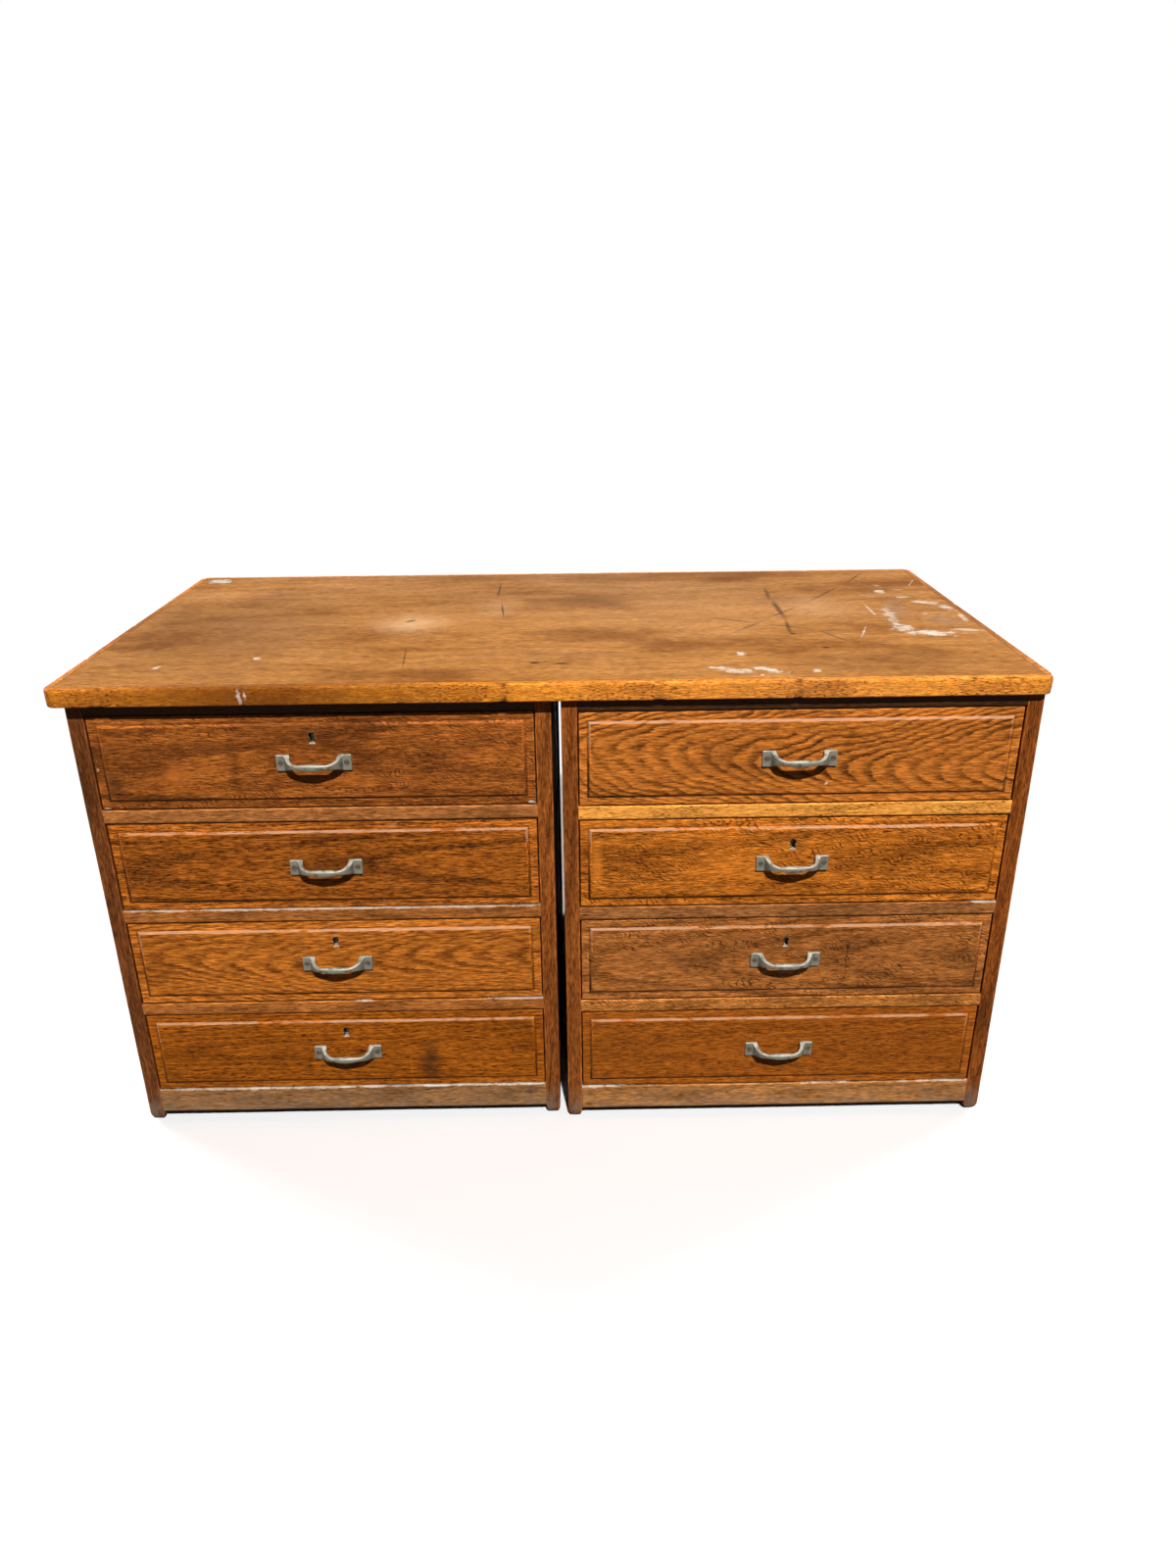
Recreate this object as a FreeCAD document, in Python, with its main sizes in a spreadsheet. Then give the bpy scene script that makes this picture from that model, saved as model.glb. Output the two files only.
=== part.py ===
import FreeCAD, Part
import math
import os
import re

import Sketcher

# An oak drawer cabinet: two four-drawer pedestals side by side under one long top.
# Frame: +X to the right, -Y to the front, +Z up, millimetres.
# The origin is on the floor, under the middle of the whole piece's box.

DRIVING_SIZES = (
    ("cabinet_width", 682.0, "pedestal width over its posts"),
    ("cabinet_depth", 680.0, "pedestal depth over its posts"),
    ("cabinet_gap", 14.0, "open gap between the pedestals"),
    ("left_overhang", 17.0, "top past the left pedestal"),
    ("right_overhang", 6.0, "top past the right pedestal"),
    ("front_overhang", 14.0, "top past the front of the right pedestal"),
    ("back_overhang", 19.0, "top past the back of the right pedestal"),
    ("left_set_back", 10.0, "left pedestal stands this much further back"),
    ("top_thickness", 27.5, "thickness of the top"),
    ("top_corner_round", 15.0, "plan radius of the top's corners"),
    ("top_edge_round", 2.5, "softened arris round the top"),
    ("lipping_width", 12.0, "solid lipping round the top's core"),
    ("foot_height", 19.0, "post below the plinth rail"),
    ("plinth_height", 43.5, "plinth rail height"),
    ("drawer_opening", 147.0, "height of one drawer opening"),
    ("rail_height", 21.5, "drawer rail height"),
    ("top_rail_height", 19.5, "rail under the top"),
    ("post_width", 23.0, "post across the front"),
    ("post_depth", 58.0, "posts and front rails from front to back"),
    ("foot_round", 6.0, "worn round of a foot"),
    ("tenon_length", 12.0, "front rail tenon into its post"),
    ("tenon_width", 24.0, "front rail tenon from front to back"),
    ("tenon_set_back", 12.0, "front rail tenon behind the rail's face"),
    ("tenon_shoulder", 4.0, "shoulder above and below a tenon"),
    ("frame_rail_thickness", 16.0, "side and back frame rail thickness"),
    ("frame_top_height", 60.0, "upper frame rail height"),
    ("frame_bottom_height", 70.0, "lower frame rail height"),
    ("panel_thickness", 8.0, "side and back panel thickness"),
    ("groove_depth", 8.0, "panel groove depth in posts and rails"),
    ("panel_play", 0.5, "room for a panel at the floor of its groove"),
    ("runner_bearing", 18.0, "runner width under a drawer side"),
    ("guide_height", 24.0, "runner upstand beside a drawer side"),
    ("stop_length", 45.0, "drawer stop along its rail"),
    ("stop_width", 22.0, "drawer stop from front to back"),
    ("stop_thickness", 5.0, "drawer stop above its rail"),
    ("front_gap", 1.6, "gap round a drawer front"),
    ("running_gap", 0.3, "drawer side above its runner"),
    ("front_recess", 2.0, "front margin behind the rails' face"),
    ("front_thickness", 18.0, "drawer front at its margin"),
    ("field_margin", 13.0, "flat margin round the raised field"),
    ("field_height", 3.2, "raised field above the margin"),
    ("field_bevel", 3.4, "width of the field's bevelled edge"),
    ("side_thickness", 12.0, "drawer side thickness"),
    ("side_drop", 10.0, "drawer side lower than its opening"),
    ("rear_gap", 14.0, "drawer clear of the back frame"),
    ("tail_length", 13.0, "dovetail tail into the drawer front"),
    ("pin_width", 8.0, "dovetail pin at its narrow end"),
    ("tail_spread", 1.9, "tail widening on each side"),
    ("back_thickness", 12.0, "drawer back thickness"),
    ("back_drop", 8.0, "drawer back lower than the sides"),
    ("back_housing", 4.0, "drawer back housed in the sides"),
    ("bottom_thickness", 6.0, "drawer bottom thickness"),
    ("bottom_groove", 6.0, "drawer bottom let into its grooves"),
    ("bottom_rise", 9.0, "drawer bottom above the sides' lower edge"),
    ("handle_length", 107.5, "handle over its feet"),
    ("handle_reach", 29.0, "handle out from the drawer front"),
    ("handle_foot_height", 24.0, "handle foot height"),
    ("handle_foot_length", 19.5, "handle foot along the handle"),
    ("handle_foot_thickness", 4.5, "handle foot plate thickness"),
    ("handle_arm_start", 16.2, "handle end to the middle of its arm's root"),
    ("handle_arm_height", 23.0, "arm height at its root"),
    ("handle_arm_depth", 7.6, "arm along the handle at its root"),
    ("handle_neck_start", 33.0, "handle end to the narrow neck of its bar"),
    ("handle_neck_height", 6.8, "bar height at its necks"),
    ("handle_neck_depth", 5.6, "bar thickness from front to back at its necks"),
    ("handle_bar_height", 10.0, "bar height in its middle"),
    ("handle_bar_depth", 8.5, "bar thickness from front to back in its middle"),
    ("handle_bar_bow", 1.8, "bar further out in its middle than at its necks"),
    ("handle_edge_bevel", 0.8, "softened front edges of a foot"),
    ("handle_foot_round", 1.5, "rounded corners of a foot"),
    ("screw_inset", 6.5, "handle screw from the handle's end"),
    ("screw_length", 21.0, "handle screw length"),
    ("screw_radius", 2.1, "handle screw shank radius"),
    ("screw_head_radius", 4.1, "handle screw head radius"),
    ("screw_head_height", 2.4, "handle screw countersunk head"),
    ("screw_slot_width", 1.1, "screw slot width"),
    ("screw_slot_depth", 0.9, "screw slot depth"),
    ("screw_play", 0.15, "room round a screw"),
    ("left_key_drop", 33.0, "keyhole below the opening's top, left"),
    ("right_key_drop", 39.5, "keyhole below the opening's top, right"),
    ("keyhole_head_radius", 5.2, "keyhole rim's round head"),
    ("keyhole_drop", 13.0, "keyhole rim's foot below its head's centre"),
    ("keyhole_neck", 6.4, "keyhole rim's width at the neck"),
    ("keyhole_foot", 9.0, "keyhole rim's width at the foot"),
    ("keyhole_rim", 1.0, "wall of the keyhole's metal rim"),
    ("keyhole_rim_depth", 6.0, "keyhole rim let into the front"),
    ("lock_width", 64.0, "lock case width"),
    ("lock_depth", 11.0, "lock case thickness"),
    ("lock_below", 22.0, "lock case below the key's axis"),
    ("key_pin_radius", 1.6, "lock's key pin radius"),
    ("key_pin_length", 12.0, "lock's key pin length"),
    ("key_room_width", 12.0, "room for the key's bit, width"),
    ("key_room_drop", 14.0, "room for the key's bit, below the pin"),
    ("key_room_depth", 5.0, "room for the key's bit, depth"),
    ("bolt_width", 26.0, "lock bolt width"),
    ("bolt_thickness", 5.0, "lock bolt thickness"),
    ("bolt_length", 18.0, "lock bolt length"),
    ("bolt_throw", 8.0, "travel of the lock bolt"),
    ("bolt_set_in", 3.0, "lock bolt in from the case's back"),
    ("bolt_play", 0.4, "room round the bolt in its case"),
    ("strike_play", 1.0, "room round the bolt in its rail"),
    ("overrun", 1.0, "how far a cut runs past the wood"),
)

DRAWER_COUNT = 4
LEVELS = range(1, DRAWER_COUNT + 1)
LOCKED_LEVELS = {"left": (1, 3, 4), "right": (2, 3)}
TAIL_COUNT = 4
STOP_SHARES = (0.2, 0.8)
ANGLE_TEST = 1e-6
TOUCH_TEST = 1e-3
FIRST_GUESS = 1.0
ALONG_X = FreeCAD.Vector(1, 0, 0)
ALONG_Y = FreeCAD.Vector(0, 1, 0)
ALONG_Z = FreeCAD.Vector(0, 0, 1)

doc = FreeCAD.newDocument("drawer_cabinet")
sheet = doc.addObject("Spreadsheet::Sheet", "Sizes")
for row, (alias, value, meaning) in enumerate(DRIVING_SIZES, start=1):
    sheet.set(f"A{row}", meaning)
    sheet.set(f"B{row}", str(value))
    sheet.setAlias(f"B{row}", alias)
doc.recompute()

ALIASES = {alias for alias, value, meaning in DRIVING_SIZES}
NODES = []

TOP_LENGTH = "(left_overhang + 2 * cabinet_width + cabinet_gap + right_overhang)"
TOP_DEPTH = "(front_overhang + cabinet_depth + back_overhang)"
CARCASS_HEIGHT = (
    f"(foot_height + plinth_height + {DRAWER_COUNT} * drawer_opening"
    f" + {DRAWER_COUNT - 1} * rail_height + top_rail_height)"
)
FRONT_PLANE = "((handle_reach + field_height - front_recess - cabinet_depth - back_overhang) / 2)"
OPENING_WIDTH = "(cabinet_width - 2 * post_width)"
SIDE_RUN = "(cabinet_depth - 2 * post_depth)"
FRONT_WIDTH = f"({OPENING_WIDTH} - 2 * front_gap)"
FRONT_HEIGHT = "(drawer_opening - 2 * front_gap)"
FRONT_BACK = "(front_recess + front_thickness)"
SIDE_HEIGHT = "(drawer_opening - side_drop)"
DRAWER_REAR = "(cabinet_depth - frame_rail_thickness - rear_gap)"
INNER_WIDTH = f"({FRONT_WIDTH} - 2 * side_thickness)"
FIELD_FACE = "(front_recess - field_height)"


def formula(text):
    """Text with each named size pointed at its cell in the sheet."""
    return re.sub(
        r"[a-z_]+",
        lambda word: f"Sizes.{word.group()}" if word.group() in ALIASES else word.group(),
        text,
    )


def bind(thing, **sizes):
    """Tie properties of an object to formulas over the named sizes."""
    for name, text in sizes.items():
        thing.setExpression(name, formula(text))


def place(thing, corner):
    """Tie an object's place to three formulas."""
    for axis, text in zip("xyz", corner):
        thing.setExpression(f"Placement.Base.{axis}", formula(text))


def box(name, sides, corner):
    """A straight block with its lowest corner at the given place."""
    made = doc.addObject("Part::Box", name)
    bind(made, Length=sides[0], Width=sides[1], Height=sides[2])
    place(made, corner)
    return made


def rod(name, radius, length, start):
    """A round rod that points forwards, towards -Y, from its start."""
    made = doc.addObject("Part::Cylinder", name)
    made.Placement.Rotation = FreeCAD.Rotation(FreeCAD.Vector(1, 0, 0), 90)
    bind(made, Radius=radius, Height=length)
    place(made, start)
    return made


def cone(name, back_radius, front_radius, length, start):
    """A cone that points forwards, towards -Y, from its start."""
    made = doc.addObject("Part::Cone", name)
    made.Placement.Rotation = FreeCAD.Rotation(FreeCAD.Vector(1, 0, 0), 90)
    bind(made, Radius1=back_radius, Radius2=front_radius, Height=length)
    place(made, start)
    return made


def wedge(name, across, depth, front_half, back_half, middle):
    """A block whose height grows or shrinks from front to back, even about its middle."""
    made = doc.addObject("Part::Wedge", name)
    bind(made, Xmin="0", X2min="0", Xmax=across, X2max=across, Ymin="0", Ymax=depth)
    bind(made, Zmin=f"-{front_half}", Zmax=front_half, Z2min=f"-{back_half}", Z2max=back_half)
    place(made, middle)
    return made


def join(name, pieces):
    """One piece of wood or metal out of several touching forms."""
    made = doc.addObject("Part::MultiFuse", name)
    made.Shapes = pieces
    made.Refine = True
    return made


def carve(name, blank, tools):
    """A blank with every tool's form taken out of it."""
    made = doc.addObject("Part::Cut", name)
    made.Base = blank
    made.Tool = tools[0] if len(tools) == 1 else join(f"{name}_tools", tools)
    return made


def overlap(name, first, second):
    """The form that two blanks share."""
    made = doc.addObject("Part::Common", name)
    made.Base = first
    made.Tool = second
    return made


def group(name, pieces):
    """Separate like pieces kept together as one node."""
    made = doc.addObject("Part::Compound", name)
    made.Links = pieces
    return made


def node(label, thing):
    """Note a finished piece under its own name."""
    thing.Label = label
    NODES.append(thing)


def origin_plane(body, role):
    """One of a body's own base planes."""
    return next(plane for plane in body.Origin.OriginFeatures if plane.Role == role)


def outline(body, name, role, *loops):
    """A sketch of closed straight-sided loops, each corner tied to a pair of formulas."""
    sketch = body.newObject("Sketcher::SketchObject", name)
    sketch.AttachmentSupport = (origin_plane(body, role), [""])
    sketch.MapMode = "FlatFace"
    for corners in loops:
        first = sketch.GeometryCount
        count = len(corners)
        spots = [FreeCAD.Vector(number, number * number, 0) for number in range(count)]
        for number in range(count):
            sketch.addGeometry(Part.LineSegment(spots[number], spots[(number + 1) % count]))
        for number in range(count):
            line = first + number
            after = first + (number + 1) % count
            sketch.addConstraint(Sketcher.Constraint("Coincident", line, 2, after, 1))
        for number, (across, up) in enumerate(corners):
            line = first + number
            for kind, text, axis in (("DistanceX", across, -2), ("DistanceY", up, -1)):
                if text == "0":
                    sketch.addConstraint(Sketcher.Constraint("PointOnObject", line, 1, axis))
                else:
                    wanted = Sketcher.Constraint(kind, -1, 1, line, 1, FIRST_GUESS)
                    tie = sketch.addConstraint(wanted)
                    sketch.setExpression(f"Constraints[{tie}]", formula(text))
    return sketch


def rectangle(left, low, right, high):
    """The four corners of an upright rectangle."""
    return ((left, low), (right, low), (right, high), (left, high))


def pad(body, name, sketch, length, backwards=False):
    """Material raised from a sketch."""
    made = body.newObject("PartDesign::Pad", name)
    made.Profile = sketch
    made.Reversed = backwards
    bind(made, Length=length)
    doc.recompute()
    return made


def pocket(body, name, sketch, backwards=False):
    """Material cut right through from a sketch, with a test that it did cut."""
    before = body.Shape.Volume
    made = body.newObject("PartDesign::Pocket", name)
    made.Profile = sketch
    made.Type = "ThroughAll"
    made.Reversed = backwards
    doc.recompute()
    if not body.Shape.Volume < before:
        raise RuntimeError(f"{name} cuts nothing")
    return made


def picked(base, chosen):
    """A feature with the names of its edges that pass a test."""
    edges = enumerate(base.Shape.Edges, start=1)
    return base, [f"Edge{number}" for number, edge in edges if chosen(edge)]


def rounded(body, name, base, radius, chosen):
    """Fillets on the edges of a feature that a test picks out."""
    made = body.newObject("PartDesign::Fillet", name)
    made.Base = picked(base, chosen)
    bind(made, Radius=radius)
    doc.recompute()
    return made


def bevelled(body, name, base, width, chosen):
    """Chamfers on the edges of a feature that a test picks out."""
    made = body.newObject("PartDesign::Chamfer", name)
    made.Base = picked(base, chosen)
    bind(made, Size=width)
    doc.recompute()
    return made


def runs_along(edge, axis):
    """True for a straight edge along the given axis."""
    if edge.Curve.TypeId != "Part::GeomLine":
        return False
    return abs(abs(edge.tangentAt(edge.FirstParameter).dot(axis)) - 1) < ANGLE_TEST


def middle_of(edge):
    """The point halfway along an edge."""
    return edge.valueAt((edge.FirstParameter + edge.LastParameter) / 2)


def present(name):
    """A named size's present value, for picking edges."""
    return float(sheet.get(name))


class Cabinet:
    """One pedestal: its name, its front left corner and its keyholes' height."""

    def __init__(self, name, left, front, key_drop):
        self.name = name
        self.left = left
        self.front = front
        self.key_drop = key_drop

    def at(self, across, back, up):
        """A place in the pedestal as a place in the whole frame."""
        return (f"{self.left} + {across}", f"{self.front} + {back}", up)

    def block(self, name, sides, corner):
        """A straight block placed from the pedestal's corner."""
        return box(f"{self.name}_{name}", sides, self.at(*corner))


LEFT_START = f"left_overhang - {TOP_LENGTH} / 2"
RIGHT_START = f"{TOP_LENGTH} / 2 - right_overhang - cabinet_width"
CABINETS = (
    Cabinet("left", LEFT_START, f"{FRONT_PLANE} + left_set_back", "left_key_drop"),
    Cabinet("right", RIGHT_START, FRONT_PLANE, "right_key_drop"),
)


def opening_floor(level):
    """Height of the floor of a drawer opening, level 1 at the top."""
    below = DRAWER_COUNT - level
    return f"(foot_height + plinth_height + {below} * (drawer_opening + rail_height))"


def build_top():
    """The top: a flat core with a solid lipping on its four edges and rounded plan corners."""
    body = doc.addObject("PartDesign::Body", "top_blank")
    plan = outline(body, "top_plan", "XY_Plane", rectangle("0", "0", TOP_LENGTH, TOP_DEPTH))
    slab = pad(body, "top_slab", plan, "top_thickness")
    corners = rounded(
        body, "top_corners", slab, "top_corner_round", lambda edge: runs_along(edge, ALONG_Z))
    rounded(
        body, "top_arris", corners, "top_edge_round",
        lambda edge: edge.BoundBox.ZLength < TOUCH_TEST)
    left = f"-{TOP_LENGTH} / 2"
    front = f"{FRONT_PLANE} - front_overhang"
    place(body, (left, front, CARCASS_HEIGHT))
    core_length = f"({TOP_LENGTH} - 2 * lipping_width)"
    core_depth = f"({TOP_DEPTH} - 2 * lipping_width)"
    node("top_core", box(
        "top_core", (core_length, core_depth, "top_thickness"),
        (f"{left} + lipping_width", f"{front} + lipping_width", CARCASS_HEIGHT)))
    strips = (
        ("front", TOP_LENGTH, "lipping_width", left, front),
        ("back", TOP_LENGTH, "lipping_width", left, f"{front} + {TOP_DEPTH} - lipping_width"),
        ("left", "lipping_width", core_depth, left, f"{front} + lipping_width"),
        ("right", "lipping_width", core_depth, f"{TOP_LENGTH} / 2 - lipping_width",
         f"{front} + lipping_width"),
    )
    lippings = []
    for name, length, depth, across, back in strips:
        strip = box(
            f"{name}_lipping_strip", (length, depth, "top_thickness"), (across, back, CARCASS_HEIGHT))
        lippings.append(overlap(f"{name}_lipping", body, strip))
    node("top_lippings", group("top_lippings", lippings))


def frame_levels():
    """Lower edge and height of the lower and upper frame rails, and which edge is grooved."""
    bottom_groove_low = "foot_height + frame_bottom_height - groove_depth"
    top_low = f"{CARCASS_HEIGHT} - frame_top_height"
    return (
        ("bottom", "foot_height", "frame_bottom_height", bottom_groove_low),
        ("top", top_low, "frame_top_height", top_low),
    )


PANEL_INSET = "((frame_rail_thickness - panel_thickness) / 2)"
PANEL_LOW = "(foot_height + frame_bottom_height - groove_depth + panel_play)"
PANEL_HIGH = f"({CARCASS_HEIGHT} - frame_top_height + groove_depth - panel_play)"


def build_posts(cabinet):
    """Four corner posts with grooves for the panels and mortises for the front rails."""
    groove_run = f"({CARCASS_HEIGHT} - foot_height)"
    posts = []
    for side in ("left", "right"):
        on_left = side == "left"
        outer = "0" if on_left else "(cabinet_width - post_width)"
        side_groove = PANEL_INSET if on_left else f"(cabinet_width - {PANEL_INSET} - panel_thickness)"
        mortise = "(post_width - tenon_length)" if on_left else "(cabinet_width - post_width)"
        back_groove = "(post_width - groove_depth)" if on_left else "(cabinet_width - post_width)"
        for end in ("front", "back"):
            name = f"{side}_{end}_post"
            front = "0" if end == "front" else "(cabinet_depth - post_depth)"
            blank = post_blank(f"{cabinet.name}_{name}", cabinet.at(outer, front, "0"))
            groove_front = "(post_depth - groove_depth)" if end == "front" else front
            cuts = [cabinet.block(
                f"{name}_side_groove", ("panel_thickness", "groove_depth", groove_run),
                (side_groove, groove_front, "foot_height"))]
            if end == "back":
                cuts.append(cabinet.block(
                    f"{name}_back_groove", ("groove_depth", "panel_thickness", groove_run),
                    (back_groove, f"cabinet_depth - {PANEL_INSET} - panel_thickness", "foot_height")))
            else:
                for rail, low, height in front_rail_levels():
                    cuts.append(cabinet.block(
                        f"{name}_{rail}_mortise",
                        ("tenon_length", "tenon_width", f"{height} - 2 * tenon_shoulder"),
                        (mortise, "tenon_set_back", f"{low} + tenon_shoulder")))
            posts.append(carve(f"{cabinet.name}_{name}", blank, cuts))
    node(f"{cabinet.name}_posts", group(f"{cabinet.name}_posts", posts))


def post_blank(name, corner):
    """A plain post whose foot is rounded off on both sides."""
    body = doc.addObject("PartDesign::Body", f"{name}_blank")
    face = outline(body, f"{name}_face", "XZ_Plane", rectangle("0", "0", "post_width", CARCASS_HEIGHT))
    length = pad(body, f"{name}_length", face, "post_depth", backwards=True)
    rounded(
        body, f"{name}_foot", length, "foot_round",
        lambda edge: runs_along(edge, ALONG_Y) and middle_of(edge).z < present("foot_round"))
    place(body, corner)
    return body


def front_rail_levels():
    """Name, lower edge and height of every front rail, from the plinth up."""
    levels = [("plinth_rail", "foot_height", "plinth_height")]
    for level in reversed(LEVELS):
        above = f"({opening_floor(level)} + drawer_opening)"
        if level == 1:
            levels.append(("top_rail", above, "top_rail_height"))
        else:
            levels.append((f"drawer_rail_{level - 1}", above, "rail_height"))
    return levels


def build_front_rails(cabinet):
    """Front rails tenoned into the posts, with a strike mortise over each locked drawer."""
    strikes = {f"drawer_rail_{level - 1}" if level > 1 else "top_rail": level
               for level in LOCKED_LEVELS[cabinet.name]}
    rails = []
    for rail, low, height in front_rail_levels():
        bar = cabinet.block(
            f"{rail}_bar", (OPENING_WIDTH, "post_depth", height), ("post_width", "0", low))
        tenons = cabinet.block(
            f"{rail}_tenons",
            (f"{OPENING_WIDTH} + 2 * tenon_length", "tenon_width", f"{height} - 2 * tenon_shoulder"),
            ("post_width - tenon_length", "tenon_set_back", f"{low} + tenon_shoulder"))
        made = join(f"{cabinet.name}_{rail}", [bar, tenons])
        if rail in strikes:
            strike = cabinet.block(
                f"{rail}_strike",
                ("bolt_width + 2 * strike_play", "bolt_thickness + 2 * strike_play",
                 "bolt_throw + overrun"),
                ("(cabinet_width - bolt_width) / 2 - strike_play",
                 f"{FRONT_BACK} - bolt_set_in - bolt_thickness - strike_play", f"{low} - overrun"))
            made = carve(f"{cabinet.name}_{rail}_cut", made, [strike])
        if rail == "plinth_rail":
            node(f"{cabinet.name}_plinth_rail", made)
        else:
            rails.append(made)
    node(f"{cabinet.name}_drawer_rails", group(f"{cabinet.name}_drawer_rails", rails))


def build_frame(cabinet):
    """Side and back frames: rails tongued into the posts, and a loose panel in their grooves."""
    rails = []
    panels = []
    panel_height = f"({PANEL_HIGH} - {PANEL_LOW})"
    for side in ("left", "right"):
        outer = "0" if side == "left" else "(cabinet_width - frame_rail_thickness)"
        for level, low, height, groove in frame_levels():
            name = f"{side}_side_{level}_rail"
            bar = cabinet.block(
                f"{name}_bar", ("frame_rail_thickness", SIDE_RUN, height), (outer, "post_depth", low))
            tongue = cabinet.block(
                f"{name}_tongue", ("panel_thickness", f"{SIDE_RUN} + 2 * groove_depth", height),
                (f"{outer} + {PANEL_INSET}", "post_depth - groove_depth", low))
            slot = cabinet.block(
                f"{name}_slot", ("panel_thickness", f"{SIDE_RUN} + 2 * groove_depth", "groove_depth"),
                (f"{outer} + {PANEL_INSET}", "post_depth - groove_depth", groove))
            blank = join(f"{cabinet.name}_{name}_blank", [bar, tongue])
            rails.append(carve(f"{cabinet.name}_{name}", blank, [slot]))
        panels.append(cabinet.block(
            f"{side}_side_panel",
            ("panel_thickness", f"{SIDE_RUN} + 2 * (groove_depth - panel_play)", panel_height),
            (f"{outer} + {PANEL_INSET}", "post_depth - groove_depth + panel_play", PANEL_LOW)))
    back = "(cabinet_depth - frame_rail_thickness)"
    for level, low, height, groove in frame_levels():
        name = f"back_{level}_rail"
        bar = cabinet.block(
            f"{name}_bar", (OPENING_WIDTH, "frame_rail_thickness", height), ("post_width", back, low))
        tongue = cabinet.block(
            f"{name}_tongue", (f"{OPENING_WIDTH} + 2 * groove_depth", "panel_thickness", height),
            ("post_width - groove_depth", f"{back} + {PANEL_INSET}", low))
        slot = cabinet.block(
            f"{name}_slot", (f"{OPENING_WIDTH} + 2 * groove_depth", "panel_thickness", "groove_depth"),
            ("post_width - groove_depth", f"{back} + {PANEL_INSET}", groove))
        blank = join(f"{cabinet.name}_{name}_blank", [bar, tongue])
        rails.append(carve(f"{cabinet.name}_{name}", blank, [slot]))
    node(f"{cabinet.name}_frame_rails", group(f"{cabinet.name}_frame_rails", rails))
    node(f"{cabinet.name}_side_panels", group(f"{cabinet.name}_side_panels", panels))
    node(f"{cabinet.name}_back_panel", cabinet.block(
        "back_panel",
        (f"{OPENING_WIDTH} + 2 * (groove_depth - panel_play)", "panel_thickness", panel_height),
        ("post_width - groove_depth + panel_play", f"{back} + {PANEL_INSET}", PANEL_LOW)))


def build_runners(cabinet):
    """Rebated runners that carry and guide each drawer, and kickers over the top pair."""
    bearing = "(post_width - frame_rail_thickness + runner_bearing)"
    runners = []
    for side in ("left", "right"):
        on_left = side == "left"
        right_across = f"(cabinet_width - frame_rail_thickness - {bearing})"
        across = "frame_rail_thickness" if on_left else right_across
        guide_across = "frame_rail_thickness" if on_left else "(cabinet_width - post_width)"
        for level in LEVELS:
            name = f"{side}_runner_{level}"
            floor = opening_floor(level)
            foot = cabinet.block(
                f"{name}_foot", (bearing, SIDE_RUN, "rail_height"),
                (across, "post_depth", f"{floor} - rail_height"))
            guide = cabinet.block(
                f"{name}_guide", ("post_width - frame_rail_thickness", SIDE_RUN, "guide_height"),
                (guide_across, "post_depth", floor))
            runners.append(join(f"{cabinet.name}_{name}", [foot, guide]))
        runners.append(cabinet.block(
            f"{side}_kicker", (bearing, SIDE_RUN, "top_rail_height"),
            (across, "post_depth", f"{CARCASS_HEIGHT} - top_rail_height")))
    node(f"{cabinet.name}_runners", group(f"{cabinet.name}_runners", runners))


def build_stops(cabinet):
    """Two blocks on the rail behind each drawer front, which the shut drawer meets."""
    stops = []
    for level in LEVELS:
        for number, share in enumerate(STOP_SHARES):
            across = f"post_width + {share} * {OPENING_WIDTH} - stop_length / 2"
            stops.append(cabinet.block(
                f"drawer_stop_{level}_{number}", ("stop_length", "stop_width", "stop_thickness"),
                (across, FRONT_BACK, opening_floor(level))))
    node(f"{cabinet.name}_drawer_stops", group(f"{cabinet.name}_drawer_stops", stops))


def tails(cabinet, name, across, low):
    """The row of dovetail tails at the front end of a drawer side."""
    pitch = f"({SIDE_HEIGHT} / {TAIL_COUNT})"
    wide = f"(({pitch} - pin_width) / 2)"
    narrow = f"({wide} - tail_spread)"
    row = []
    for number in range(TAIL_COUNT):
        middle = f"{low} + {number} * {pitch} + {pitch} / 2"
        row.append(wedge(
            f"{cabinet.name}_{name}_{number}", "side_thickness", "tail_length", wide, narrow,
            cabinet.at(across, f"{FRONT_BACK} - tail_length", middle)))
    return row


def keyhole(cabinet, name, wall, front, deep, axis_height):
    """A keyhole's form, drawn in by a wall, from a front plane to a depth behind it."""
    centre = cabinet.at("cabinet_width / 2", f"{front} + {deep}", axis_height)
    head = rod(f"{cabinet.name}_{name}_head", f"keyhole_head_radius - {wall}", deep, centre)
    slot = doc.addObject("Part::Wedge", f"{cabinet.name}_{name}_slot")
    neck_half = f"(keyhole_neck / 2 - {wall})"
    foot_half = f"(keyhole_foot / 2 - {wall})"
    bind(slot, Xmin=f"-{neck_half}", Xmax=neck_half, X2min=f"-{foot_half}", X2max=foot_half)
    bind(slot, Zmin="0", Zmax=deep, Z2min="0", Z2max=deep, Ymin="0", Ymax=f"keyhole_drop - {wall}")
    slot.Placement.Rotation = FreeCAD.Rotation(FreeCAD.Vector(1, 0, 0), -90)
    place(slot, cabinet.at("cabinet_width / 2", front, axis_height))
    return join(f"{cabinet.name}_{name}", [head, slot])


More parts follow.
